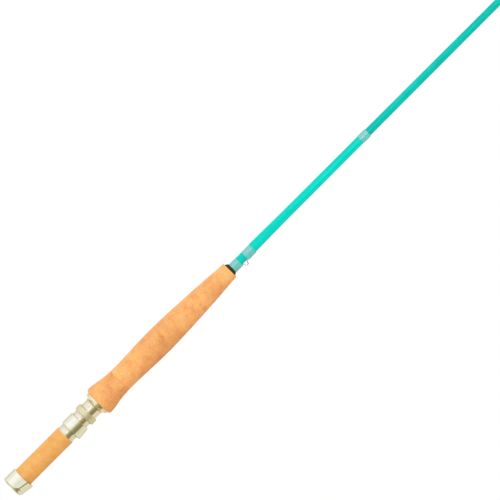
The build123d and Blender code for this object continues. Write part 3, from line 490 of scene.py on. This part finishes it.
FINISHES["seat_metal"] = turned_metal(
    "seat_metal", 9000.0, 260.0, [(0.35, 0.15), (0.62, 0.21)],
    [(0.3, (0.97, 0.96, 0.88)), (0.7, (0.93, 0.915, 0.82))], groove=0.0000025)
FINISHES["nut_metal"] = turned_metal(
    "nut_metal", 5200.0, 420.0, [(0.3, 0.37), (0.7, 0.47)],
    [(0.3, (0.755, 0.71, 0.48)), (0.7, (0.835, 0.79, 0.565))], "Marks", groove=0.000006, metallic=0.75)
barrel_metal = turned_metal(
    "barrel_metal", 9000.0, 260.0, [(0.35, 0.07), (0.62, 0.11)],
    [(0.3, (1.0, 0.93, 0.845)), (0.7, (0.97, 0.895, 0.80))])
washer_metal = turned_metal(
    "washer_metal", 7000.0, 300.0, [(0.35, 0.16), (0.62, 0.24)],
    [(0.3, (0.975, 0.895, 0.70)), (0.7, (0.94, 0.855, 0.635))])
print("metals ready")

# %% [markdown]
# ## Grip cork
# The grip is sanded and bare, so it is matt, with a faint sheen. Each of its twelve rings has a tone
# of its own. Twelve materials would do that too. Here one material looks the tone up by the ring's
# count, multiplies it over the bark, and adds the grain and the pits. One edit changes every ring.

# %% Grip cork: sanded natural rings
RING_COUNT = 12
TONES = [0.44, 0.37, 0.63, 0.60, 0.42, 0.30, 0.34, 0.52, 0.62, 0.55, 0.48, 0.58]
PIT_SCALE, PIT_LEVEL = 420.0, 0.705


def grained_and_pitted(tree, cork, body, speckle, pit_colour):
    """Grain over a body colour, and then the pits."""
    grained = mix_colours(tree, 1.0, body, ramp(tree, cork["Grain"], speckle), "MULTIPLY")
    return mix_colours(tree, cork["Pits"], grained, (*pit_colour, 1.0))


material, tree, shader = finish(
    "grip_cork", Roughness=0.72, Specular_IOR_Level=0.25, Sheen_Weight=0.16, Sheen_Roughness=0.5)
cork = use(tree, cork_grain, Patch=95.0, Grain=1100.0, Pit=PIT_SCALE, Pit_Level=PIT_LEVEL)
bark = ramp(tree, cork["Patches"], [
    (0.28, (0.79, 0.335, 0.108)), (0.44, (0.925, 0.430, 0.142)), (0.62, (0.985, 0.525, 0.178))])
ring_share = math_node(tree, "DIVIDE", math_node(tree, "ADD", cork["Ring"], 0.5), RING_COUNT)
tone = ramp(tree, ring_share, [(i / RING_COUNT, level) for i, level in enumerate(TONES)], "CONSTANT")
ring_tint = ramp(tree, tone, [(0.3, (0.92, 0.86, 0.84)), (0.72, (1.04, 1.05, 1.06))])
toned = mix_colours(tree, 1.0, bark, ring_tint, "MULTIPLY")
speckle = [(0.34, (0.80, 0.74, 0.70)), (0.48, 1.0), (0.70, (1.03, 1.03, 1.02))]
surface = grained_and_pitted(tree, cork, toned, speckle, (0.60, 0.26, 0.095))
tree.links.new(surface, shader.inputs["Base Color"])
set_bump(tree, shader, cork["Grain"], 0.00012)
FINISHES["grip_cork"] = material
print("grip cork in", len(TONES), "tones")

# %% [markdown]
# ## Spacer cork
# The spacer that the reel lies on is one tube of much finer cork, sealed smooth. It could share the
# grip's finish, but its pits are smaller, its body is more even and yellower, and it has a thin
# coat. So it uses the same grain with sizes and colours of its own.

# %% Spacer cork: fine, even, sealed smooth
material, tree, shader = finish(
    "insert_cork", Roughness=0.42, Specular_IOR_Level=0.35, Coat_Weight=0.15, Coat_Roughness=0.25)
cork = use(tree, cork_grain, Patch=150.0, Grain=1900.0, Pit=900.0, Pit_Level=0.70)
body = ramp(tree, cork["Patches"], [
    (0.30, (0.810, 0.370, 0.084)), (0.50, (0.875, 0.432, 0.106)), (0.70, (0.905, 0.474, 0.130))])
speckle = [(0.36, (0.86, 0.82, 0.78)), (0.50, 1.0), (0.68, (1.02, 1.02, 1.0))]
surface = grained_and_pitted(tree, cork, body, speckle, (0.62, 0.28, 0.085))
tree.links.new(surface, shader.inputs["Base Color"])
set_bump(tree, shader, cork["Grain"], 0.00003)
FINISHES["insert_cork"] = material
print("spacer cork ready")

# %% [markdown]
# ## The teal blank
# The blank is glass cloth rolled into a tube with teal resin. Long faint streaks of cloth run down
# it, and the colour deepens a little where one ply overlaps the next. A plain teal would do from far
# off. Stretched noise for the streaks and soft clouds for the plies make it glass fibre close up.

# %% Blank: streaks and clouds under varnish
material, tree, shader = finish(
    "blank_glass", Roughness=0.40, Specular_IOR_Level=0.03, Coat_Weight=0.05, Coat_Roughness=0.06)
streaks = use(tree, cloth_streaks)["Streaks"]
clouds = noise(tree, 60.0, 2.0, place=place_in(tree))
STREAKS_SHARE, CLOUDS_SHARE = 0.65, 0.35
cloth = math_node(tree, "ADD", math_node(tree, "MULTIPLY", streaks, STREAKS_SHARE),
                  math_node(tree, "MULTIPLY", clouds, CLOUDS_SHARE))
drive(tree, shader, "Base Color", cloth, [
    (0.36, (0.001, 0.475, 0.400)), (0.50, (0.002, 0.545, 0.460)), (0.64, (0.004, 0.605, 0.515))])
set_bump(tree, shader, streaks, 0.000012)
FINISHES["blank_glass"] = material
print("blank ready")

# %% [markdown]
# ## Wrap thread
# The wraps are pale aqua thread under a gloss of varnish. A plain band of colour would do from far
# off, but close up no two turns of thread have quite the same tone. So the finish works out which
# turn a point is on, as a count along a helix, and lets the count choose the tone.

# %% Wrap thread, toned turn by turn
THREAD_WIDTH = 0.00019


def turns_at(tree, spot, width):
    """How many turns of a helix lie before a point: width along the rod, once round, is one turn."""
    share_round = math_node(tree, "DIVIDE", math_node(tree, "ARCTAN2", spot["Z"], spot["Y"]), 2 * math.pi)
    return math_node(tree, "SUBTRACT", math_node(tree, "DIVIDE", spot["X"], width), share_round)


def across_turn(tree, turn):
    """From -0.5 at one edge of a turn to 0.5 at the other."""
    return math_node(tree, "SUBTRACT", math_node(tree, "FRACT", turn), 0.5)


material, tree, shader = finish(
    "wrap_thread", Roughness=0.5, Specular_IOR_Level=0.2, Coat_Weight=0.9, Coat_Roughness=0.10)
turn = turns_at(tree, parts_of(tree, place_in(tree)), THREAD_WIDTH)
across = across_turn(tree, turn)
drive(tree, shader, "Base Color", noise(tree, 0.9, 1.0, number=turn), [
    (0.32, (0.128, 0.515, 0.492)), (0.52, (0.170, 0.590, 0.572)), (0.70, (0.222, 0.655, 0.650))])
ROUND = 0.26   # a little more than half a turn squared, so that the ridges don't quite come to an edge
below_top = math_node(tree, "MULTIPLY", across, across)
half_round = math_node(tree, "SQRT", math_node(tree, "SUBTRACT", ROUND, below_top))
set_bump(tree, shader, half_round, 0.00001)
FINISHES["wrap_thread"] = material
print("wraps ready")

# %% [markdown]
# ## Clear finish
# Over the label area and between the keeper's wraps there is clear finish alone. A clear layer round
# a tube is a lens, which shows the tube's colour right out to its own edge and a little brighter.
# Real clear shells would need many more bounces of light to look the same. So this finish paints
# that lens brightening into its colour: the blank's streaks in a brighter tone, with a coat that
# waves a little.

# %% Clear finish, with painted shade that makes it a little darker between the keeper's wraps than over the label area
LABEL_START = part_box("label_coat")[0][0] - 1e-4   # a hair early, so that its end face is part of it
material, tree, shader = finish(
    "clear_finish", Roughness=0.35, Specular_IOR_Level=0.03, Coat_Weight=0.05, Coat_Roughness=0.03)
place = place_in(tree)
# Painted light: this teal is brighter than the blank's, standing in for the brightening of the clear layer's
# lens.
body = ramp(tree, use(tree, cloth_streaks)["Streaks"], [
    (0.36, (0.001, 0.600, 0.500)), (0.50, (0.002, 0.680, 0.570)), (0.64, (0.006, 0.750, 0.640))])
# Painted shade: off the label area, between the keeper's wraps, the colour is made about a tenth darker.
on_label = math_node(tree, "GREATER_THAN", parts_of(tree, place)["X"], LABEL_START)
painted_shade_between_wraps = ramp(tree, on_label, [(0.0, (0.90, 0.88, 0.88)), (1.0, 1.0)])
tree.links.new(mix_colours(tree, 1.0, body, painted_shade_between_wraps, "MULTIPLY"), shader.inputs["Base Color"])
set_bump(tree, shader, noise(tree, 85.0, 1.0, place=place), 0.00006, "Coat Normal")
FINISHES["clear_finish"] = material
print("clear finish ready")

# %% [markdown]
# ## Small parts
# Each could be one plain colour at this size. But a close view gives that away, so fine noise at
# the right scale moves each one's colour or polish.

# %% Guide wire, ring ceramic, check, thrust ring and foam
def grained(name, scale, detail, stops, groove=0.0, **values):
    """A small part's finish: fine grain that moves some of the shader's values, and its surface."""
    material, tree, shader = finish(name, **values)
    grain = noise(tree, scale, detail, place=place_in(tree))
    for label, choice in stops.items():
        drive(tree, shader, label, grain, choice)
    if groove:
        set_bump(tree, shader, grain, groove)
    return material


FINISHES["guide_wire"] = grained("guide_wire", 900.0, 3.0, {
    "Roughness": [(0.3, 0.10), (0.7, 0.18)]}, 0.000004, Base_Color=(0.62, 0.60, 0.63), Metallic=1.0)
FINISHES["ring_ceramic"] = grained("ring_ceramic", 2600.0, 2.0, {
    "Base Color": [(0.3, (0.030, 0.033, 0.038)), (0.7, (0.050, 0.054, 0.060))]},
    Roughness=0.12, Coat_Weight=0.4, Coat_Roughness=0.05)
FINISHES["check_rubber"] = grained("check_rubber", 3500.0, 2.0, {
    "Base Color": [(0.3, (0.038, 0.024, 0.006)), (0.7, (0.056, 0.039, 0.013))],
    "Roughness": [(0.3, 0.36), (0.7, 0.50)]}, 0.00001, Specular_IOR_Level=0.12)
FINISHES["thrust_ring"] = grained("thrust_ring", 1500.0, 2.0, {
    "Base Color": [(0.3, (0.66, 0.62, 0.48)), (0.7, (0.74, 0.70, 0.56))]}, 0.00002, Roughness=0.45)

material, tree, shader = finish("arbor_foam", Roughness=0.9)
bubbles = {"Vector": place_in(tree), "Scale": 1600.0}
cells = add(tree, "ShaderNodeTexVoronoi", sockets=bubbles).outputs["Distance"]
drive(tree, shader, "Base Color", cells, [(0.1, (0.42, 0.39, 0.33)), (0.6, (0.56, 0.52, 0.46))])
set_bump(tree, shader, cells, 0.0001)
FINISHES["arbor_foam"] = material

# %% [markdown]
# ## Dressing the solids
# Fifty-two solids could be dressed by hand. But the record names a material slot for every one, so a
# loop gives each the finish of its slot, and none is forgotten. The collar and the washer share the
# seat's slot, but they are warmer than the cap and the hood, so those two are listed apart.

# %% Every solid gets the finish of its slot, and two get their own
OWN_FINISH = {"grip_ring": washer_metal, "barrel_collar": washer_metal}
for entry in frame["record"]["subparts"]:
    mesh = nodes[entry["node"]].data
    mesh.materials.clear()
    mesh.materials.append(OWN_FINISH.get(entry["node"], FINISHES[entry["material_slot"]]))

# %% [markdown]
# ## The outlines of turned pieces
# The barrel and the cork rings are turned on a lathe about the rod's axis. Their profiles could be
# typed in again, but they already exist in the CAD solids. So a helper reads a solid's outer line,
# which means that a piece never outgrows it. It puts rows of points close together along the line,
# because the cutting below needs points to move.

# %% Read a solid's outline
BORE_MARGIN = 1.1   # a row of points this many times wider than the bore belongs to the outside
MICRON = 1e-6       # points this near along the rod are one row
AT_END = 1e-5       # points this near to an end lie on its face
TINY = 1e-9         # a difference that is only rounding


def outer_line(node, step):
    """Stations and outer radii of a turned solid, a step apart, read from its mesh."""
    rows = {}
    for vertex in node.data.vertices:
        station = round(vertex.co.x / MICRON)
        rows[station] = max(rows.get(station, 0.0), math.hypot(vertex.co.y, vertex.co.z))
    bore = min(math.hypot(vertex.co.y, vertex.co.z) for vertex in node.data.vertices)
    line = [(station * MICRON, radius) for station, radius in sorted(rows.items())
            if radius > BORE_MARGIN * bore]
    start, end = line[0][0], line[-1][0]
    count = max(2, round((end - start) / step))
    dense = []
    for number in range(count + 1):
        x = start + (end - start) * number / count
        after = next(i for i, (at, _) in enumerate(line) if at >= x - TINY)
        (xa, ra), (xb, rb) = line[max(0, after - 1)], line[after]
        dense.append((x, ra if xb - xa < TINY else ra + (rb - ra) * (x - xa) / (xb - xa)))
    return dense


def bore_of(node):
    """The smallest radius of a turned solid at each end."""
    low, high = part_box(node.name)
    ends = []
    for at in (low[0], high[0]):
        face = (vertex.co for vertex in node.data.vertices if abs(vertex.co.x - at) < AT_END)
        ends.append(min(math.hypot(point.y, point.z) for point in face))
    return ends


print("outline readers ready")

# %% [markdown]
# ## Turning
# A turned piece is a line carried round the axis. Spin does that, but the thread wraps further on
# aren't round, and need a radius of their own at each angle. So the helper takes rows of radii, and
# a turned piece is the case where all the radii of a row are the same.

# %% Turn a finely divided ring
def ring_piece(name, loops, around):
    """A piece of closed rings. A loop is rows of (station, radii), the radii evenly spaced round the axis."""
    points, faces = [], []
    for loop in loops:
        first = len(points)
        for x, radii in loop:
            for number, radius in enumerate(radii):
                angle = 2 * math.pi * number / around
                points.append((x, radius * math.cos(angle), radius * math.sin(angle)))
        for row in range(len(loop)):
            here = first + row * around
            there = first + (row + 1) % len(loop) * around
            for number in range(around):
                beside = (number + 1) % around
                faces.append((here + number, here + beside, there + beside, there + number))
    mesh = bpy.data.meshes.new(name)
    mesh.from_pydata(points, [], faces)
    mesh.update()
    piece = bpy.data.objects.new(name, mesh)
    bpy.context.scene.collection.objects.link(piece)
    return piece


def turned_piece(name, loop, around):
    """A closed ring turned from a loop of (station, radius) points about the rod's axis."""
    return ring_piece(name, [[(x, [radius] * around) for x, radius in loop]], around)


print("turning helpers ready")

# %% [markdown]
# ## Cutting by rule
# A thread, a pitted surface and a wound one are each a rule that says how deep to cut at each point.
# Geometry Nodes is made for that: Set Position moves each point towards the axis by a depth that
# other nodes work out. Sweeping a cutter along a helix and subtracting it would be slow, and it
# leaves ragged ends. Here the sizes stay open as named inputs, and the tree is run once and removed.

# %% Helpers for trees that cut towards the rod's axis
SHARP = math.radians(50)


def cutting_tree(name, inputs):
    """A Geometry Nodes tree with a mesh input, named number inputs and a finish."""
    tree = bpy.data.node_groups.new(name, "GeometryNodeTree")
    tree.interface.new_socket(name="Mesh", in_out="INPUT", socket_type="NodeSocketGeometry")
    for label, value in inputs.items():
        tree.interface.new_socket(name=label, in_out="INPUT", socket_type=NUMBER).default_value = value
    tree.interface.new_socket(name="Finish", in_out="INPUT", socket_type="NodeSocketMaterial")
    tree.interface.new_socket(name="Mesh", in_out="OUTPUT", socket_type="NodeSocketGeometry")
    return tree, tree.nodes.new("NodeGroupInput").outputs, tree.nodes.new("NodeGroupOutput").inputs


def past_bore(tree, spot, limit):
    """1 on the outside of a ring and 0 on its bore, which no rule cuts."""
    square_y = math_node(tree, "MULTIPLY", spot["Y"], spot["Y"])
    radius = math_node(tree, "SQRT", math_node(tree, "MULTIPLY_ADD", spot["Z"], spot["Z"], square_y))
    return math_node(tree, "GREATER_THAN", radius, limit)


def to_nearest_end(tree, spot, given):
    """How far a point is from the nearer end of its piece."""
    from_start = math_node(tree, "SUBTRACT", spot["X"], given["Start"])
    from_end = math_node(tree, "SUBTRACT", given["End"], spot["X"])
    return math_node(tree, "MINIMUM", from_start, from_end)


def cut_and_close(tree, given, result, depth, spot):
    """Moves each point towards the axis by a depth, then realizes and finishes the mesh."""
    radial = add(tree, "ShaderNodeCombineXYZ", sockets={"Y": spot["Y"], "Z": spot["Z"]}).outputs[0]
    outwards = add(tree, "ShaderNodeVectorMath", operation="NORMALIZE", sockets={0: radial}).outputs[0]
    inwards = {0: outwards, "Scale": math_node(tree, "MULTIPLY", depth, -1.0)}
    shift = add(tree, "ShaderNodeVectorMath", operation="SCALE", sockets=inwards).outputs[0]
    cut = {"Geometry": given["Mesh"], "Offset": shift}
    moved = add(tree, "GeometryNodeSetPosition", sockets=cut).outputs[0]
    whole = add(tree, "GeometryNodeRealizeInstances", sockets={"Geometry": moved}).outputs[0]
    dress = {"Geometry": whole, "Material": given["Finish"]}
    tree.links.new(add(tree, "GeometryNodeSetMaterial", sockets=dress).outputs[0], result["Mesh"])


def volume_of(mesh):
    """Signed volume: positive when the faces point outwards."""
    total = 0.0
    mesh.calc_loop_triangles()
    for triangle in mesh.loop_triangles:
        a, b, c = (mesh.vertices[i].co for i in triangle.vertices)
        total += a.dot(b.cross(c)) / 6.0
    return total


def apply_tree(piece, tree, material, **values):
    """Runs a tree on a piece and keeps the result as its plain mesh."""
    modifier = piece.modifiers.new(tree.name, "NODES")
    modifier.node_group = tree
    names = {item.name: item.identifier for item in tree.interface.items_tree if item.in_out == "INPUT"}
    for label, value in values.items():
        modifier[names[label.replace("_", " ")]] = float(value)
    modifier[names["Finish"]] = material
    ready = piece.evaluated_get(bpy.context.evaluated_depsgraph_get())
    mesh = bpy.data.meshes.new_from_object(ready)
    piece.modifiers.remove(modifier)
    mesh.name = piece.name
    piece.data = mesh
    if volume_of(mesh) < 0:
        mesh.flip_normals()
    mesh.shade_smooth()
    mesh.set_sharp_from_angle(angle=SHARP)


print("cutting helpers ready")

# %% [markdown]
# ## The threaded barrel
# The nut runs on a thread of 20 turns to the inch, cut shallow because it is only turned by hand.
# Its crests are wide and its grooves are rounded. It runs out at both ends, so that the nut starts
# easily. A bump map would draw the lines, but the silhouette would stay straight, so this is cut.

# %% The thread rule
PITCH, THREAD_DEPTH = 0.00127, 0.00035
RUN_OUT = 0.0009           # over which the thread fades in and out
BARREL_BORE_LIMIT = 0.0068
CREST, ROOT = 0.20, 0.46   # where the groove starts and where it is deepest, in turns from the crest
tree, given, result = cutting_tree("cut_thread", {
    "Pitch": PITCH, "Depth": THREAD_DEPTH, "Start": 0.0, "End": 1.0,
    "Run Out": RUN_OUT, "Bore Limit": BARREL_BORE_LIMIT})
spot = parts_of(tree, add(tree, "GeometryNodeInputPosition").outputs[0])
from_crest = math_node(tree, "ABSOLUTE", across_turn(tree, turns_at(tree, spot, given["Pitch"])))
groove = map_range(tree, from_crest, CREST, ROOT, curve="SMOOTHSTEP")
fade = math_node(tree, "DIVIDE", to_nearest_end(tree, spot, given), given["Run Out"], clamp=True)
outside = past_bore(tree, spot, given["Bore Limit"])
depth = math_node(tree, "MULTIPLY", math_node(tree, "MULTIPLY", groove, fade),
                  math_node(tree, "MULTIPLY", outside, given["Depth"]))
cut_and_close(tree, given, result, depth, spot)
cut_thread = tree
print("thread rule with", len(tree.nodes), "nodes")

# %% [markdown]
# ## Threading the barrel
# The rule can only move points that are there, and the CAD barrel has just a few long faces. It
# could be subdivided, but even rows are better. So it is turned again from its own outline, with 16
# rows to a turn of thread, and the rule is run on it once.

# %% The barrel, turned and threaded
ROWS_A_PITCH, BARREL_AROUND = 16, 144
PLAIN_START, PLAIN_END = 0.0006, 0.0004   # bare metal before the thread and after it
barrel = nodes["seat_barrel"]
line = outer_line(barrel, PITCH / ROWS_A_PITCH)
start, end = line[0][0], line[-1][0]
bore_start, bore_end = bore_of(barrel)
threaded = turned_piece("threaded_barrel", line + [(end, bore_end), (start, bore_start)], BARREL_AROUND)
apply_tree(threaded, cut_thread, barrel_metal, Pitch=PITCH, Depth=THREAD_DEPTH,
           Start=start + PLAIN_START, End=end - PLAIN_END, Run_Out=RUN_OUT, Bore_Limit=BARREL_BORE_LIMIT)
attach(threaded, "root")
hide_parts("seat_barrel")
print("barrel with", round((end - start) / PITCH, 1), "turns and", len(threaded.data.polygons), "faces")

# %% [markdown]
# ## The cork rings
# Sanding a grip leaves the bark's pits open, and a hair-fine line at each glued joint. Pits could be
# painted on, but light catches their edges. The rule below sinks them, with the same noise as the
# finish, ring by ring, so each pit in the surface is also dark. The seam is a small bevel.

# %% The pit rule
PIT_DEPTH, SEAM = 0.0003, 0.0001   # the seam is a bevel as wide as it is deep
CORK_BORE_LIMIT = 0.0046
tree, given, result = cutting_tree("sink_pits", {
    "Pit": PIT_SCALE, "Pit Level": PIT_LEVEL, "Depth": PIT_DEPTH, "Ring": 0.0,
    "Start": 0.0, "End": 1.0, "Seam": SEAM, "Bore Limit": CORK_BORE_LIMIT})
place = add(tree, "GeometryNodeInputPosition").outputs[0]
spot = parts_of(tree, place)
sunk = pits_in(tree, place, given["Ring"], given["Pit"], given["Pit Level"])
into_seam = math_node(tree, "SUBTRACT", given["Seam"], to_nearest_end(tree, spot, given))
bevel = math_node(tree, "MAXIMUM", into_seam, 0.0)
outside = past_bore(tree, spot, given["Bore Limit"])
depth = math_node(tree, "MULTIPLY", outside, math_node(tree, "MULTIPLY_ADD", sunk, given["Depth"], bevel))
cut_and_close(tree, given, result, depth, spot)
sink_pits = tree
print("pit rule with", len(tree.nodes), "nodes")

# %% [markdown]
# ## Twelve rings
# One long piece could stand for the whole grip, but the real one is twelve rings, and each of these
# replaces one solid. Every ring is turned from its own outline and has its own seed, its number.

# %% Twelve cork rings with pits and fine glued seams
CORK_STEP, CORK_AROUND = 0.0004, 168
SEAM_ROW = 0.00012   # from each end to a row of points just past its bevel
face_count = 0
for number in range(RING_COUNT):
    name = f"cork_ring_{number + 1:02d}"
    line = outer_line(nodes[name], CORK_STEP)
    bore_start, bore_end = bore_of(nodes[name])
    (start, start_radius), (end, end_radius) = line[0], line[-1]
    outside_rows = [(start, start_radius), (start + SEAM_ROW, start_radius), *line[1:-1],
                    (end - SEAM_ROW, end_radius), (end, end_radius)]
    grip = turned_piece(f"grip_{name}", outside_rows + [(end, bore_end), (start, bore_start)], CORK_AROUND)
    apply_tree(grip, sink_pits, FINISHES["grip_cork"], Pit=PIT_SCALE, Pit_Level=PIT_LEVEL,
               Depth=PIT_DEPTH, Ring=number, Start=start, End=end, Seam=SEAM, Bore_Limit=CORK_BORE_LIMIT)
    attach(grip, "root")
    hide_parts(name)
    face_count += len(grip.data.polygons)
print("twelve rings with", face_count, "faces")

# %% [markdown]
# ## The shapes of the wraps
# A wrap is one thread wound side by side round the blank, over the foot of a guide or of the
# keeper, and then varnished. Where it climbs over a foot it isn't round, so it has no one outline
# to turn. Its solid has the right shape but few points. Rays cast at the solid from all round, and
# from the axis outwards, measure that shape at as many points as the next steps need.

# %% Read the shape of a wrap by casting rays at it
AROUND = 64
REACH = 0.03           # how far out the rays start
FACE_INSET = 0.00001   # end rows are read this far inside the wrap's end faces
GAP = 0.00001          # faces further apart than this along the rod are on different solids


def solids_along(node):
    """The faces of each solid of a node, told apart by the gaps between them along the rod."""
    spans = []
    for polygon in node.data.polygons:
        stations = [node.data.vertices[i].co.x for i in polygon.vertices]
        spans.append((min(stations), max(stations), tuple(polygon.vertices)))
    solids, furthest = [], None
    for low, high, face in sorted(spans):
        if furthest is None or low > furthest + GAP:
            solids.append([])
            furthest = high
        solids[-1].append(face)
        furthest = max(furthest, high)
    return solids


def ray_radii(solid, x, outside):
    """The radii of a solid at one station, from outside or from the axis."""
    radii = []
    for number in range(AROUND):
        angle = 2 * math.pi * number / AROUND
        out = Vector((0.0, math.cos(angle), math.sin(angle)))
        centre = Vector((x, 0.0, 0.0))
        ray = (centre + out * REACH, -out) if outside else (centre, out)
        hit = solid.ray_cast(*ray)[0]
        radii.append(radii[-1] if hit is None else math.hypot(hit.y, hit.z))
    return radii


def rows_between(solid, first, last, count, outside):
    """Rows of radii at even stations from one end of a wrap to the other."""
    low, high = min(first, last) + FACE_INSET, max(first, last) - FACE_INSET
    stations = [first + (last - first) * row / count for row in range(count + 1)]
    return [(x, ray_radii(solid, min(max(x, low), high), outside)) for x in stations]


def least(rows):
    """The smallest radius in some rows."""
    return min(min(radii) for _, radii in rows)


print("ray readers ready")

# %% [markdown]
# ## The winding rule
# Thread laid side by side is a row of rounded ridges. It could be swept along a helix as round
# thread, but that takes far more faces and can't follow a foot. This rule leaves the middle of each
# turn alone and sinks its edges, by the square of the distance from the middle.

# %% The winding rule: a rounded ridge for each turn
RIDGE_DEPTH = 0.00003
tree, given, result = cutting_tree("wind_thread", {
    "Thread Width": THREAD_WIDTH, "Depth": RIDGE_DEPTH, "Bore Limit": 0.004})
spot = parts_of(tree, add(tree, "GeometryNodeInputPosition").outputs[0])
across = across_turn(tree, turns_at(tree, spot, given["Thread Width"]))
sunk = math_node(tree, "MULTIPLY", math_node(tree, "MULTIPLY", across, across), 4.0)
outside = past_bore(tree, spot, given["Bore Limit"])
depth = math_node(tree, "MULTIPLY", outside, math_node(tree, "MULTIPLY", sunk, given["Depth"]))
cut_and_close(tree, given, result, depth, spot)
wind_thread = tree
print("winding rule with", len(tree.nodes), "nodes")

# %% [markdown]
# ## Every wrap on the rod
# All the wraps share one material slot, so a loop can find them, which is safer than a typed list. A
# guide's two wraps are one node, and are wound as two loops of one piece. Each piece rides on the
# body of the node that it replaces, so that it moves with its section of the rod.

# %% Every wrap on the rod
ROWS_A_TURN, BORE_ROWS = 5, 16
BODY_OF = {node: body for body, members in frame["record"]["behaviour"]["bodies"].items() for node in members}
turns = 0
for entry in frame["record"]["subparts"]:
    if entry["material_slot"] != "wrap_thread":
        continue
    name = entry["node"]
    corners = [vertex.co for vertex in nodes[name].data.vertices]
    loops, limits = [], []
    for faces in solids_along(nodes[name]):
        solid = BVHTree.FromPolygons(corners, faces)
        start = min(corners[i].x for face in faces for i in face)
        end = max(corners[i].x for face in faces for i in face)
        count = round((end - start) / THREAD_WIDTH * ROWS_A_TURN)
        surface = rows_between(solid, start, end, count, True)
        bore = rows_between(solid, end, start, BORE_ROWS, False)
        loops.append(surface + bore)
        limits.append((least(bore) + least(surface)) / 2)
        turns += count // ROWS_A_TURN
    wound = ring_piece(f"wound_{name}", loops, AROUND)
    apply_tree(wound, wind_thread, FINISHES["wrap_thread"], Thread_Width=THREAD_WIDTH, Depth=RIDGE_DEPTH,
               Bore_Limit=min(limits))
    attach(wound, BODY_OF[name])
    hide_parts(name)
print(turns, "turns of thread")

# %% [markdown]
# ## The size stays the CAD's
# Nothing above may outgrow the solids. The box of the CAD solids, read at the start, is printed here.

# %% Print the CAD box
print("CAD box", CAD_BOX)
